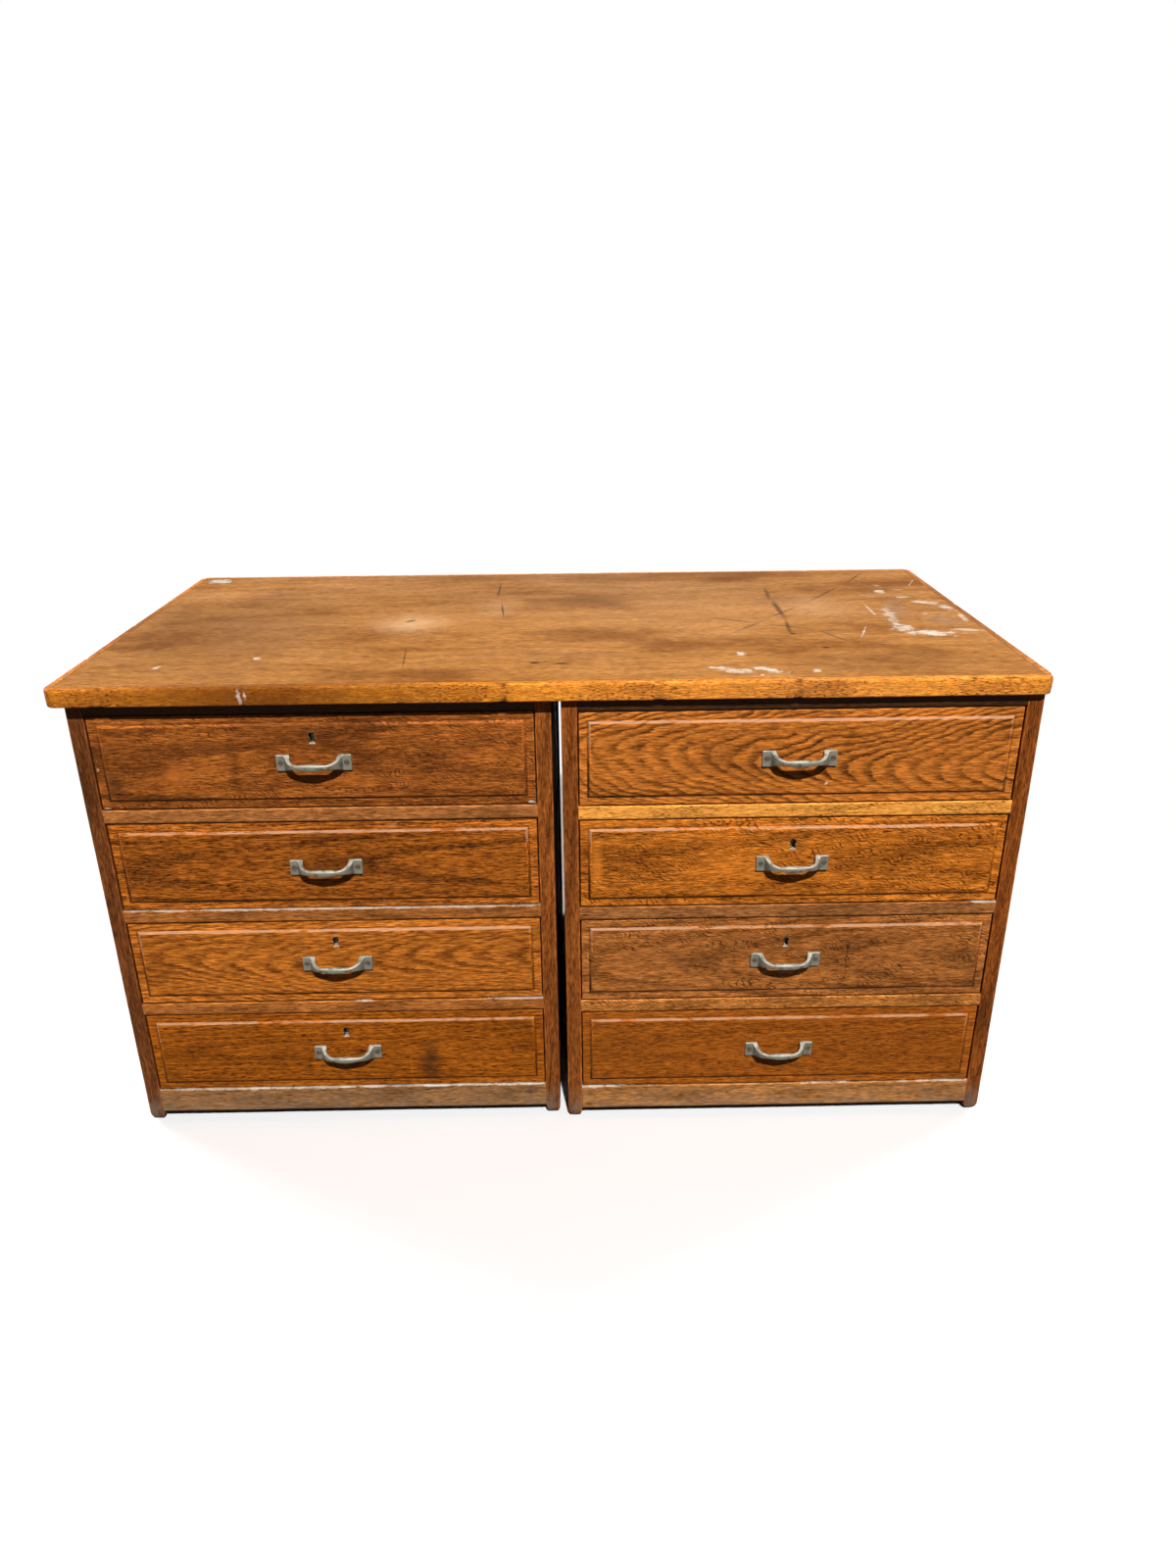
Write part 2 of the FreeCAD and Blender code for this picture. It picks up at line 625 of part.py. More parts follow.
def build_front(cabinet, level):
    """A drawer front with a raised, bevelled field, cut for its tails, bottom, screws and lock."""
    name = f"{cabinet.name}_drawer_{level}"
    low = f"({opening_floor(level)} + front_gap)"
    body = doc.addObject("PartDesign::Body", f"{name}_front_blank")
    slab_face = outline(
        body, f"{name}_slab_face", "XZ_Plane", rectangle("0", "0", FRONT_WIDTH, FRONT_HEIGHT))
    pad(body, f"{name}_slab", slab_face, "front_thickness", backwards=True)
    field_right = f"{FRONT_WIDTH} - field_margin"
    field_high = f"{FRONT_HEIGHT} - field_margin"
    field_face = outline(
        body, f"{name}_field_face", "XZ_Plane",
        rectangle("field_margin", "field_margin", field_right, field_high))
    field = pad(body, f"{name}_field", field_face, "field_height")
    bind(field, TaperAngle="-atan(field_bevel / field_height)")
    doc.recompute()
    place(body, cabinet.at("post_width + front_gap", "front_recess", low))

    side_low = f"({opening_floor(level)} + running_gap)"
    left_side = "(post_width + front_gap)"
    right_side = "(cabinet_width - post_width - front_gap - side_thickness)"
    cuts = tails(cabinet, f"drawer_{level}_left_socket", left_side, side_low)
    cuts += tails(cabinet, f"drawer_{level}_right_socket", right_side, side_low)
    cuts.append(cabinet.block(
        f"drawer_{level}_front_groove", (INNER_WIDTH, "bottom_groove", "bottom_thickness"),
        (f"{left_side} + side_thickness", f"{FRONT_BACK} - bottom_groove", f"{side_low} + bottom_rise")))
    for number, across in enumerate(screw_places()):
        cuts.append(rod(
            f"{name}_pilot_{number}", "screw_radius + screw_play", f"{SCREW_IN_WOOD} + overrun",
            cabinet.at(across, f"{FIELD_FACE} + {SCREW_IN_WOOD}", handle_middle(level))))
    if level in LOCKED_LEVELS[cabinet.name]:
        axis = key_axis(cabinet, level)
        cuts.append(keyhole(
            cabinet, f"drawer_{level}_keyhole", "0", f"({FIELD_FACE} - overrun)",
            "(front_thickness + field_height + overrun)", axis))
        cuts.append(cabinet.block(
            f"drawer_{level}_lock_recess",
            ("lock_width", "lock_depth + overrun", f"lock_below + {front_top(level)} - {axis} + overrun"),
            ("(cabinet_width - lock_width) / 2", f"{FRONT_BACK} - lock_depth", f"{axis} - lock_below")))
    node(f"{name}_front", carve(f"{name}_front", body, cuts))


def front_top(level):
    """Height of a drawer front's upper edge."""
    return f"({opening_floor(level)} + drawer_opening - front_gap)"


def key_axis(cabinet, level):
    """Height of a lock's key pin."""
    return f"({opening_floor(level)} + drawer_opening - {cabinet.key_drop})"


def handle_middle(level):
    """Height of the middle of a drawer front, where its handle sits."""
    return f"({opening_floor(level)} + drawer_opening / 2)"


def build_box(cabinet, level):
    """Drawer box: dovetailed sides, a housed back and a bottom slid in under it."""
    name = f"drawer_{level}"
    low = f"({opening_floor(level)} + running_gap)"
    left_side = "(post_width + front_gap)"
    right_side = "(cabinet_width - post_width - front_gap - side_thickness)"
    inner_left = f"({left_side} + side_thickness)"
    run = f"({DRAWER_REAR} - {FRONT_BACK})"
    bottom_low = f"({low} + bottom_rise)"
    bottom_top = f"({low} + bottom_rise + bottom_thickness)"
    back_front = f"({DRAWER_REAR} - back_thickness)"
    back_height = f"({SIDE_HEIGHT} - back_drop - bottom_rise - bottom_thickness)"
    pieces = []
    for side, across in (("left", left_side), ("right", right_side)):
        on_left = side == "left"
        board = cabinet.block(
            f"{name}_{side}_board", ("side_thickness", run, SIDE_HEIGHT), (across, FRONT_BACK, low))
        row = tails(cabinet, f"{name}_{side}_tail", across, low)
        groove_across = f"{across} + side_thickness - bottom_groove" if on_left else across
        housing_across = f"{across} + side_thickness - back_housing" if on_left else across
        groove = cabinet.block(
            f"{name}_{side}_groove", ("bottom_groove", f"{run} + overrun", "bottom_thickness"),
            (groove_across, FRONT_BACK, bottom_low))
        housing = cabinet.block(
            f"{name}_{side}_housing", ("back_housing", "back_thickness + overrun", back_height),
            (housing_across, back_front, bottom_top))
        blank = join(f"{cabinet.name}_{name}_{side}_side_blank", [board] + row)
        pieces.append(carve(f"{cabinet.name}_{name}_{side}_side", blank, [groove, housing]))
    pieces.append(cabinet.block(
        f"{name}_back", (f"{INNER_WIDTH} + 2 * back_housing", "back_thickness", back_height),
        (f"{inner_left} - back_housing", back_front, bottom_top)))
    sheet_part = cabinet.block(
        f"{name}_bottom_sheet", (f"{INNER_WIDTH} + 2 * bottom_groove", run, "bottom_thickness"),
        (f"{inner_left} - bottom_groove", FRONT_BACK, bottom_low))
    tongue = cabinet.block(
        f"{name}_bottom_tongue", (INNER_WIDTH, "bottom_groove", "bottom_thickness"),
        (inner_left, f"{FRONT_BACK} - bottom_groove", bottom_low))
    pieces.append(join(f"{cabinet.name}_{name}_bottom", [sheet_part, tongue]))
    node(f"{cabinet.name}_{name}_box", group(f"{cabinet.name}_{name}_box", pieces))


SCREW_IN_WOOD = "(screw_length - handle_foot_thickness)"


def screw_places():
    """Places of the two handle screws across a pedestal."""
    left = "(cabinet_width / 2 - handle_length / 2 + screw_inset)"
    right = "(cabinet_width / 2 + handle_length / 2 - screw_inset)"
    return (left, right)


def screw_form(cabinet, name, across, up, play):
    """A countersunk screw's form, grown by a clearance, with its head flush with the foot."""
    tip = f"({FIELD_FACE} + {SCREW_IN_WOOD})"
    neck = f"({FIELD_FACE} - handle_foot_thickness + screw_head_height)"
    radius = f"screw_radius + {play}"
    shank = rod(f"{name}_shank", radius, "screw_length - screw_head_height", cabinet.at(across, tip, up))
    head = cone(
        f"{name}_head", radius, f"screw_head_radius + {play}", "screw_head_height",
        cabinet.at(across, neck, up))
    return join(name, [shank, head])


def build_screws(cabinet, level):
    """The handle's two slotted countersunk screws."""
    up = handle_middle(level)
    screws = []
    for number, across in enumerate(screw_places()):
        name = f"{cabinet.name}_drawer_{level}_screw_{number}"
        slot = cabinet.block(
            f"drawer_{level}_screw_{number}_slot",
            ("2 * screw_head_radius + 2 * overrun", "screw_slot_depth + overrun", "screw_slot_width"),
            (f"{across} - screw_head_radius - overrun", f"{FIELD_FACE} - handle_foot_thickness - overrun",
             f"{up} - screw_slot_width / 2"))
        screws.append(carve(name, screw_form(cabinet, f"{name}_form", across, up, "0"), [slot]))
    label = f"{cabinet.name}_drawer_{level}_screws"
    node(label, group(label, screws))


# Turns of an arm's sections, in degrees from the drawer front's length, from the arm's root to its neck.
ARM_TURNS = (90, 74, 58, 42, 26, 10)
# Shares of the way from a neck to the bar's middle, along the bar and out to its full bow and thickness.
BAR_SHARES = ((0.33, 0.55), (0.67, 0.89))
SHARE_DIGITS = 6


def part_way(start, end, share):
    """A formula for the size that lies a share of the way from one size to another."""
    return f"({start} + {round(share, SHARE_DIGITS)} * ({end} - {start}))"


def grip_section(name, height, depth, spot, turn):
    """An upright ellipse across a path that is turned forwards from +X."""
    ahead = FreeCAD.Rotation(ALONG_Z, -turn).multVec(ALONG_X)
    made = doc.addObject("Part::Ellipse", name)
    bind(made, MajorRadius=f"{height} / 2", MinorRadius=f"{depth} / 2")
    made.Placement.Rotation = FreeCAD.Rotation(ALONG_Z, ALONG_Z.cross(ahead), ahead, "ZXY")
    place(made, spot)
    return made


def build_grip(cabinet, name, up):
    """A handle's arms and bar: one skin over ellipses along a path that bends out of each foot."""
    bar_out = "(handle_reach - handle_bar_depth / 2)"
    neck_out = f"({bar_out} - handle_bar_bow)"
    neck_angle = math.radians(ARM_TURNS[-1])
    rows = []
    for turn in ARM_TURNS:
        angle = math.radians(turn)
        along_share = (1 - math.sin(angle)) / (1 - math.sin(neck_angle))
        out_share = math.cos(angle) / math.cos(neck_angle)
        rows.append((
            part_way("handle_arm_start", "handle_neck_start", along_share),
            part_way("handle_foot_thickness / 2", neck_out, out_share),
            part_way("handle_arm_height", "handle_neck_height", out_share),
            part_way("handle_arm_depth", "handle_neck_depth", out_share), turn))
    for along_share, out_share in BAR_SHARES:
        rows.append((
            part_way("handle_neck_start", "handle_length / 2", along_share),
            part_way(neck_out, bar_out, out_share),
            part_way("handle_neck_height", "handle_bar_height", out_share),
            part_way("handle_neck_depth", "handle_bar_depth", out_share), 0))
    mirrored = [
        (f"(handle_length - {along})", out, height, depth, -turn)
        for along, out, height, depth, turn in reversed(rows)]
    rows.append(("handle_length / 2", bar_out, "handle_bar_height", "handle_bar_depth", 0))
    sections = []
    for number, (along, out, height, depth, turn) in enumerate(rows + mirrored):
        across = f"(cabinet_width - handle_length) / 2 + {along}"
        spot = cabinet.at(across, f"{FIELD_FACE} - {out}", up)
        sections.append(grip_section(f"{name}_section_{number}", height, depth, spot, turn))
    grip = doc.addObject("Part::Loft", f"{name}_grip")
    grip.Sections = sections
    grip.Solid = True
    return grip


def build_foot(cabinet, name, across, up):
    """A handle's foot: a plate with rounded corners and softened front edges."""
    body = doc.addObject("PartDesign::Body", name)
    face = outline(
        body, f"{name}_face", "XZ_Plane", rectangle("0", "0", "handle_foot_length", "handle_foot_height"))
    plate = pad(body, f"{name}_plate", face, "handle_foot_thickness")
    corners = rounded(
        body, f"{name}_corners", plate, "handle_foot_round", lambda edge: runs_along(edge, ALONG_Y))
    bevelled(
        body, f"{name}_arris", corners, "handle_edge_bevel",
        lambda edge: edge.BoundBox.YMax < TOUCH_TEST - present("handle_foot_thickness"))
    place(body, cabinet.at(across, FIELD_FACE, f"{up} - handle_foot_height / 2"))
    return body


def build_handle(cabinet, level):
    """A cast pull: two screwed feet, arms that sweep in, and a bowed bar with narrow necks."""
    name = f"{cabinet.name}_drawer_{level}_handle"
    up = handle_middle(level)
    left = "(cabinet_width - handle_length) / 2"
    right = "(cabinet_width + handle_length) / 2 - handle_foot_length"
    cast = join(f"{name}_cast", [
        build_foot(cabinet, f"{name}_left_foot", left, up),
        build_foot(cabinet, f"{name}_right_foot", right, up),
        build_grip(cabinet, name, up)])
    holes = []
    for number, across in enumerate(screw_places()):
        holes.append(screw_form(cabinet, f"{name}_hole_{number}", across, up, "screw_play"))
        holes.append(rod(
            f"{name}_head_room_{number}", "screw_head_radius + screw_play", "overrun",
            cabinet.at(across, f"{FIELD_FACE} - handle_foot_thickness", up)))
    node(name, carve(name, cast, holes))


def build_lock(cabinet, level):
    """A cut drawer lock: its case, key pin and keyhole rim, and the bolt that it throws."""
    name = f"drawer_{level}"
    axis = key_axis(cabinet, level)
    top = front_top(level)
    case_front = f"({FRONT_BACK} - lock_depth)"
    case_low = f"({axis} - lock_below)"
    case = cabinet.block(
        f"{name}_lock_block", ("lock_width", "lock_depth", f"{top} - {case_low}"),
        ("(cabinet_width - lock_width) / 2", case_front, case_low))
    bolt_front = f"({FRONT_BACK} - bolt_set_in - bolt_thickness)"
    channel = cabinet.block(
        f"{name}_bolt_channel",
        ("bolt_width + 2 * bolt_play", "bolt_thickness + 2 * bolt_play",
         "bolt_length + bolt_play + overrun"),
        ("(cabinet_width - bolt_width) / 2 - bolt_play", f"{bolt_front} - bolt_play",
         f"{top} - bolt_length - bolt_play"))
    key_room = cabinet.block(
        f"{name}_key_room",
        ("key_room_width", "key_room_depth + overrun", "key_room_drop + key_room_width / 2"),
        ("(cabinet_width - key_room_width) / 2", f"{case_front} - overrun", f"{axis} - key_room_drop"))
    pin = rod(
        f"{cabinet.name}_{name}_key_pin", "key_pin_radius", "key_pin_length",
        cabinet.at("cabinet_width / 2", f"{case_front} + key_room_depth", axis))
    cut_case = carve(f"{cabinet.name}_{name}_lock_case", case, [channel, key_room])
    with_pin = join(f"{cabinet.name}_{name}_lock_with_pin", [cut_case, pin])
    rim_outside = keyhole(cabinet, f"{name}_rim_outside", "0", FIELD_FACE, "keyhole_rim_depth", axis)
    rim_inside = keyhole(
        cabinet, f"{name}_rim_inside", "keyhole_rim", f"({FIELD_FACE} - overrun)",
        "(keyhole_rim_depth + 2 * overrun)", axis)
    rim = carve(f"{cabinet.name}_{name}_rim", rim_outside, [rim_inside])
    label = f"{cabinet.name}_{name}_lock"
    node(label, group(label, [with_pin, rim]))
    node(f"{cabinet.name}_{name}_bolt", cabinet.block(
        f"{name}_bolt", ("bolt_width", "bolt_thickness", "bolt_length"),
        ("(cabinet_width - bolt_width) / 2", bolt_front, f"{top} - bolt_length")))


def check_and_write():
    """Stop on any failed object or bad solid, then write one file for each piece."""
    doc.recompute()
    for thing in doc.Objects:
        if {"Invalid", "Error"} & set(thing.State):
            raise RuntimeError(f"{thing.Label} failed: {thing.State}")
    for thing in NODES:
        if thing.Shape.isNull() or not thing.Shape.isValid() or not thing.Shape.Solids:
            raise RuntimeError(f"{thing.Label} has no sound solid")
    os.makedirs("parts", exist_ok=True)
    for thing in NODES:
        thing.Shape.exportStep(f"parts/{thing.Label}.step")
        print(thing.Label, len(thing.Shape.Solids), "solids", round(thing.Shape.Volume), "mm3")


build_top()
for cabinet in CABINETS:
    build_posts(cabinet)
    build_front_rails(cabinet)
    build_frame(cabinet)
    build_runners(cabinet)
    build_stops(cabinet)
    for level in LEVELS:
        build_front(cabinet, level)
        build_box(cabinet, level)
        build_handle(cabinet, level)
        build_screws(cabinet, level)
        if level in LOCKED_LEVELS[cabinet.name]:
            build_lock(cabinet, level)
check_and_write()
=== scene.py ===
import functools
import math
from typing import NamedTuple

import bmesh
import bpy
import numpy as np
from bpy.props import FloatProperty, FloatVectorProperty, PointerProperty
from mathutils import Matrix, Vector


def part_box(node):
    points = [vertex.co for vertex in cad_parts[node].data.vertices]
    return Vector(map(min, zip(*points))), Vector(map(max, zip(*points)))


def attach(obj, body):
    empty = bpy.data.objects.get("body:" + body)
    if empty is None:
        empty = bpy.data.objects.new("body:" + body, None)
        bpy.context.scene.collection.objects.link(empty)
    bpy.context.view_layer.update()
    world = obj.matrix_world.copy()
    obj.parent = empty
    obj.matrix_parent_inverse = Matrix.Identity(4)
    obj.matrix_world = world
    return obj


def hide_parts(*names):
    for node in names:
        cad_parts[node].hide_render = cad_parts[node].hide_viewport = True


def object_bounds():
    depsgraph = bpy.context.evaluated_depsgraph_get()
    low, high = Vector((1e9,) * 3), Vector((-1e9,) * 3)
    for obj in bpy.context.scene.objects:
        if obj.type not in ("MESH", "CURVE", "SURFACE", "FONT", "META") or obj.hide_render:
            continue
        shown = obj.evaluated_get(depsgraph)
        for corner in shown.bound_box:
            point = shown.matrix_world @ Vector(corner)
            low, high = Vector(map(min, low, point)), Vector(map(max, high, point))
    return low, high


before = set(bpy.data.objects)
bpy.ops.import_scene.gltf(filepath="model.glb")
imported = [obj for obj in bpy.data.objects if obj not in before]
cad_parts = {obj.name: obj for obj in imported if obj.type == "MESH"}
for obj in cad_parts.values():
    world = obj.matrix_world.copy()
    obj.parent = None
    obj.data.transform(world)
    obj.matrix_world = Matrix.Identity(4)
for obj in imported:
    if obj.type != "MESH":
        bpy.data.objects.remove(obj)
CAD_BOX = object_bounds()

bl_info = {
    "name": "Oak drawer cabinet",
    "version": (1, 0, 0),
    "blender": (4, 5, 0),
    "location": "3D View > Sidebar > Cabinet",
    "description": "Dresses a two-pedestal drawer cabinet in worn oak and cast metal",
    "category": "Object",
}

SIDES = ("left", "right")
LEVELS = (1, 2, 3, 4)
DRAWERS = tuple((side, level) for side in SIDES for level in LEVELS)
CARCASS = "carcass"

# Two points of a mesh nearer than this, in metres, are one point.
MERGE = 1e-6
# How far a cutter stands out of the surface that it cuts, in metres.
OVERRUN = 0.001


def length(name, description, default):
    """A setting that is a length in metres."""
    return FloatProperty(name=name, description=description, default=default, min=0.0,
                         precision=4, subtype="DISTANCE", unit="LENGTH")


def colour(name, description, default):
    """A setting that is a linear colour."""
    return FloatVectorProperty(name=name, description=description, default=default, size=3,
                               min=0.0, max=1.0, subtype="COLOR")


def angle(name, description, degrees):
    """A setting that is an angle, given in degrees."""
    return FloatProperty(name=name, description=description, default=math.radians(degrees),
                         subtype="ANGLE", unit="ROTATION")


class ToneSettings(bpy.types.PropertyGroup):
    """Colours of the cabinet's finishes."""

    top: colour("Top", "Late wood of the top", (0.520, 0.214, 0.045))
    top_early: colour("Top, early wood", "Porous bands of the top", (0.22, 0.068, 0.010))
    inside: colour("Inside timber", "Unpolished drawer sides and bottoms", (0.56, 0.38, 0.20))
    inside_early: colour("Inside timber, early wood", "Darker bands inside", (0.36, 0.21, 0.095))
    # The bare colour is also the painted highlight on the fronts' upper bevels.
    bare: colour("Bare wood", "Wood where the polish is worn off", (0.57, 0.335, 0.205))
    # Grime is used for real dirt and dark marks, and also as painted shade in the gaps over and under the
    # rails, round the fronts and in their quirks.
    grime: colour("Grime", "Dirt in corners and gaps", (0.020, 0.010, 0.005))
    dust: colour("Dust", "Pale dirt low on the feet and plinth", (0.26, 0.20, 0.14))
    paint: colour("Paint", "Pale scrapes of paint on the top", (0.80, 0.72, 0.60))
    metal: colour("Handle metal", "Dull cast metal", (0.195, 0.193, 0.142))
    tarnish: colour("Tarnish", "Dark skin of the cast metal", (0.070, 0.064, 0.046))
    # Worn metal is also the painted highlight on the handles' upper faces and at a keyhole's foot.
    bright: colour("Worn metal", "Cast metal rubbed by hands", (0.68, 0.64, 0.53))
    steel: colour("Steel", "Dull steel of the screws", (0.12, 0.09, 0.065))
    rust: colour("Rust", "Rust on the screws", (0.13, 0.055, 0.024))
    brass: colour("Brass", "Aged brass of the locks", (0.36, 0.25, 0.10))
    brass_stain: colour("Brass stain", "Dark tarnish on the brass", (0.16, 0.10, 0.04))
    # The inside of a keyhole is painted near black as shade.
    painted_keyhole_shade: colour("Soot", "Inside of a keyhole", (0.006, 0.005, 0.004))
    paper: colour("Paper", "Torn plain scrap on the top", (0.60, 0.52, 0.40))
    paper_stain: colour("Paper stain", "Yellowed blotches on the paper", (0.30, 0.16, 0.07))
    paper_fibre: colour("Paper fibre", "Fibres in the paper", (0.40, 0.33, 0.22))


class ShapeSettings(bpy.types.PropertyGroup):
    """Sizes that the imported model's boxes don't give."""

    post_width: length("Post width", "Post across the front", 0.023)
    post_depth: length("Post depth", "Post from front to back", 0.058)
    foot_round: length("Foot round", "Rounding under a post", 0.0095)
    board_round: length("Board round", "Worn arris of posts and rails", 0.0012)
    front_gap: length("Front gap", "Gap round a drawer front", 0.0016)
    field_margin: length("Field margin", "Flat margin round the raised field", 0.013)
    field_bevel: length("Field bevel", "Width of the field's bevel", 0.0034)
    field_height: length("Field height", "Raised field over its margin", 0.0032)
    front_round: length("Front round", "Worn arris of a drawer front", 0.0011)
    lipping: length("Lipping", "Width of the top's lipping", 0.012)
    top_corner: length("Top corner", "Rounded plan corner of the top", 0.015)
    top_round: length("Top round", "Worn arris of the top", 0.0028)
    foot_length: length("Foot length", "Handle's foot where it meets the wood", 0.0195)
    foot_flat: length("Foot flat", "Flat of a handle's foot round its screw", 0.0116)
    handle_plate: length("Foot plate", "Thickness of a handle's foot", 0.0045)
    arm_start: length("Arm start", "Handle's end to the middle of its arm's root", 0.0162)
    arm_height: length("Arm height", "Handle's arm at its root, top to bottom", 0.023)
    arm_depth: length("Arm depth", "Handle's arm at its root, along the handle", 0.0076)
    neck_start: length("Neck start", "Handle's end to the narrow neck of its bar", 0.033)
    neck_height: length("Neck height", "Handle's bar at its necks, top to bottom", 0.0068)
    neck_depth: length("Neck depth", "Handle's bar at its necks, front to back", 0.0056)
    bar_height: length("Bar height", "Handle's bar in its middle, top to bottom", 0.010)
    bar_depth: length("Bar depth", "Handle's bar in its middle, front to back", 0.0085)
    bar_bow: length("Bar bow", "Bar further out in its middle than at its necks", 0.0018)
    foot_corner: length("Foot corner", "Rounded corner of a handle's foot", 0.0014)
    screw_inset: length("Screw inset", "Handle's end to its screw", 0.0065)
    screw_head: length("Screw head", "Radius of a screw's hole at its head", 0.00425)
    screw_neck: length("Screw neck", "Radius of a screw's hole at its neck", 0.0023)
    screw_sink: length("Screw sink", "Depth of the countersink", 0.0024)
    lock_case: length("Lock case", "Thickness of a lock's case", 0.011)
    drawer_side: length("Drawer side", "Thickness of a drawer's side", 0.012)
    lock_below: length("Lock below", "Lock's case below the key's axis", 0.022)
    key_head: length("Keyhole head", "Radius of a keyhole's round head", 0.0052)
    key_neck: length("Keyhole neck", "Keyhole's width at its neck", 0.0064)
    key_foot: length("Keyhole foot", "Keyhole's width at its foot", 0.009)
    key_drop: length("Keyhole drop", "Keyhole's foot below its head's centre", 0.013)
    strike_play: length("Strike play", "Room round a bolt in its rail", 0.001)
    strike_depth: length("Strike depth", "Depth of a strike mortise", 0.010)


class StageSettings(bpy.types.PropertyGroup):
    """Camera, lamp and floor."""

    camera: FloatVectorProperty(
        name="Camera", description="Where the camera stands", default=(0.0330, -1.7549, 1.2134), size=3,
        subtype="XYZ", unit="LENGTH")
    yaw: angle("Yaw", "Camera turned to the left", -0.678)
    pitch: angle("Pitch", "Camera turned down", 23.205)
    roll: angle("Roll", "Camera turned about its line of sight", -0.566)
    lens: FloatProperty(name="Lens", description="Focal length in millimetres", default=24.543, min=1.0)
    lamp_turn: angle("Lamp turn", "Lamp to the right of straight ahead", 9.0)
    lamp_height: angle("Lamp height", "Lamp above the floor", 47.0)
    lamp_distance: length("Lamp distance", "Lamp from the middle of the cabinet", 9.0)
    lamp_size: length("Lamp size", "Side of the lamp", 0.2)
    lamp_power: FloatProperty(
        name="Lamp power", description="Power of the lamp", default=1010.0, min=0.0, subtype="POWER",
        unit="POWER")
    side_turn: angle("Side lamps' turn", "Side lamps from straight ahead, to the left and right", 122.0)
    side_height: angle("Side lamps' height", "Side lamps above the floor", 18.0)
    side_distance: length("Side lamps' distance", "Side lamps from the middle of the cabinet", 7.0)
    side_size: length("Side lamps' size", "Side of a side lamp", 2.5)
    side_power: FloatProperty(
        name="Side lamps' power", description="Power of a side lamp", default=300.0, min=0.0, subtype="POWER",
        unit="POWER")
    fill: FloatProperty(name="Fill", description="Soft light from all round", default=0.02, min=0.0)
    floor: colour("Floor", "Pale floor as the camera sees it", (0.92, 0.92, 0.92))
    floor_bounce: colour("Floor bounce", "Floor as it lights the object", (0.04, 0.04, 0.04))
    floor_reach: length("Floor reach", "Half the floor's side", 14.0)
    shadow_reach: length("Shadow reach", "Floor that keeps the shadow, from the middle", 0.9)
    blend_reach: length("Blend reach", "Where the floor has turned into plain white", 1.7)


def sway(values, seed, longest, waves=5):
    """Smooth seeded unevenness between about -1 and 1: a sum of sines, each half as long as the last."""
    draw = np.random.default_rng(seed)
    total = np.zeros_like(values, dtype=float)
    weights = 0.62 ** np.arange(waves)
    for number, weight in enumerate(weights):
        wave = longest * draw.uniform(0.75, 1.3) / 2 ** number
        total += weight * np.sin(2 * np.pi * (values / wave + draw.uniform()))
    return total / weights.sum()


class Surface(NamedTuple):
    """A closed surface: points, four-cornered faces, and a wear and a grime value at each point."""

    points: np.ndarray
    faces: np.ndarray
    wear: np.ndarray
    grime: np.ndarray


def grid_surface(points, wear=None, grime=None, ring=False):
    """Joins a grid of points, row by row, into a surface whose rows close on themselves.

    With ring the last row also joins the first. A row of equal points closes an end.
    """
    rows, columns = points.shape[:2]
    row = np.arange(rows if ring else rows - 1)[:, None]
    column = np.arange(columns)
    after = (column + 1) % columns
    below = (row + 1) % rows
    faces = np.stack([row * columns + column, row * columns + after,
                      below * columns + after, below * columns + column], axis=-1)
    blank = np.zeros((rows, columns))
    wear = blank if wear is None else wear
    grime = blank if grime is None else grime
    return Surface(points.reshape(-1, 3), faces.reshape(-1, 4), wear.ravel(), grime.ravel())


def rounded_rectangle(half, corner, steps, spacing):
    """Points and inward normals round a rectangle with quarter-circle corners, anticlockwise."""
    turn = np.linspace(0, np.pi / 2, steps)
    points = []
    normals = []
    signs = ((1, 1), (-1, 1), (-1, -1), (1, -1))
    inner = np.array(half) - corner
    for number, sign in enumerate(signs):
        facing = turn + number * np.pi / 2
        spoke = np.stack([np.cos(facing), np.sin(facing)], axis=-1)
        arc = np.array(sign) * inner + corner * spoke
        following = np.array(signs[(number + 1) % 4]) * inner + corner * spoke[-1]
        count = max(2, int(np.linalg.norm(following - arc[-1]) / spacing))
        share = np.linspace(0, 1, count, endpoint=False)[1:, None]
        points += [arc, arc[-1] + share * (following - arc[-1])]
        normals += [-spoke, np.repeat(-spoke[-1:], len(share), axis=0)]
    return np.concatenate(points), np.concatenate(normals)


# How far apart a board's rings of points stand, and how wide the band beside an arris is, in metres.
BOARD_STEP = 0.012
BOARD_BAND = 0.0018
# How many points round an arris and round a board's end.
CORNER_STEPS = 4
END_STEPS = 7
# How dark the painted shade in the gaps over and under a rail is, and how worn the arrises of boards and
# posts.
GAP_SHADE = 0.9
ARRIS_WEAR = 0.3
POST_WEAR = 0.5
# How unevenly an arris is worn, as a share of its rounding, and over what length.
ARRIS_SWAY = 0.5
ARRIS_WAVE = 0.5
# How many times as high as it is deep the rounding under a post is.
FOOT_STRETCH = 1.9


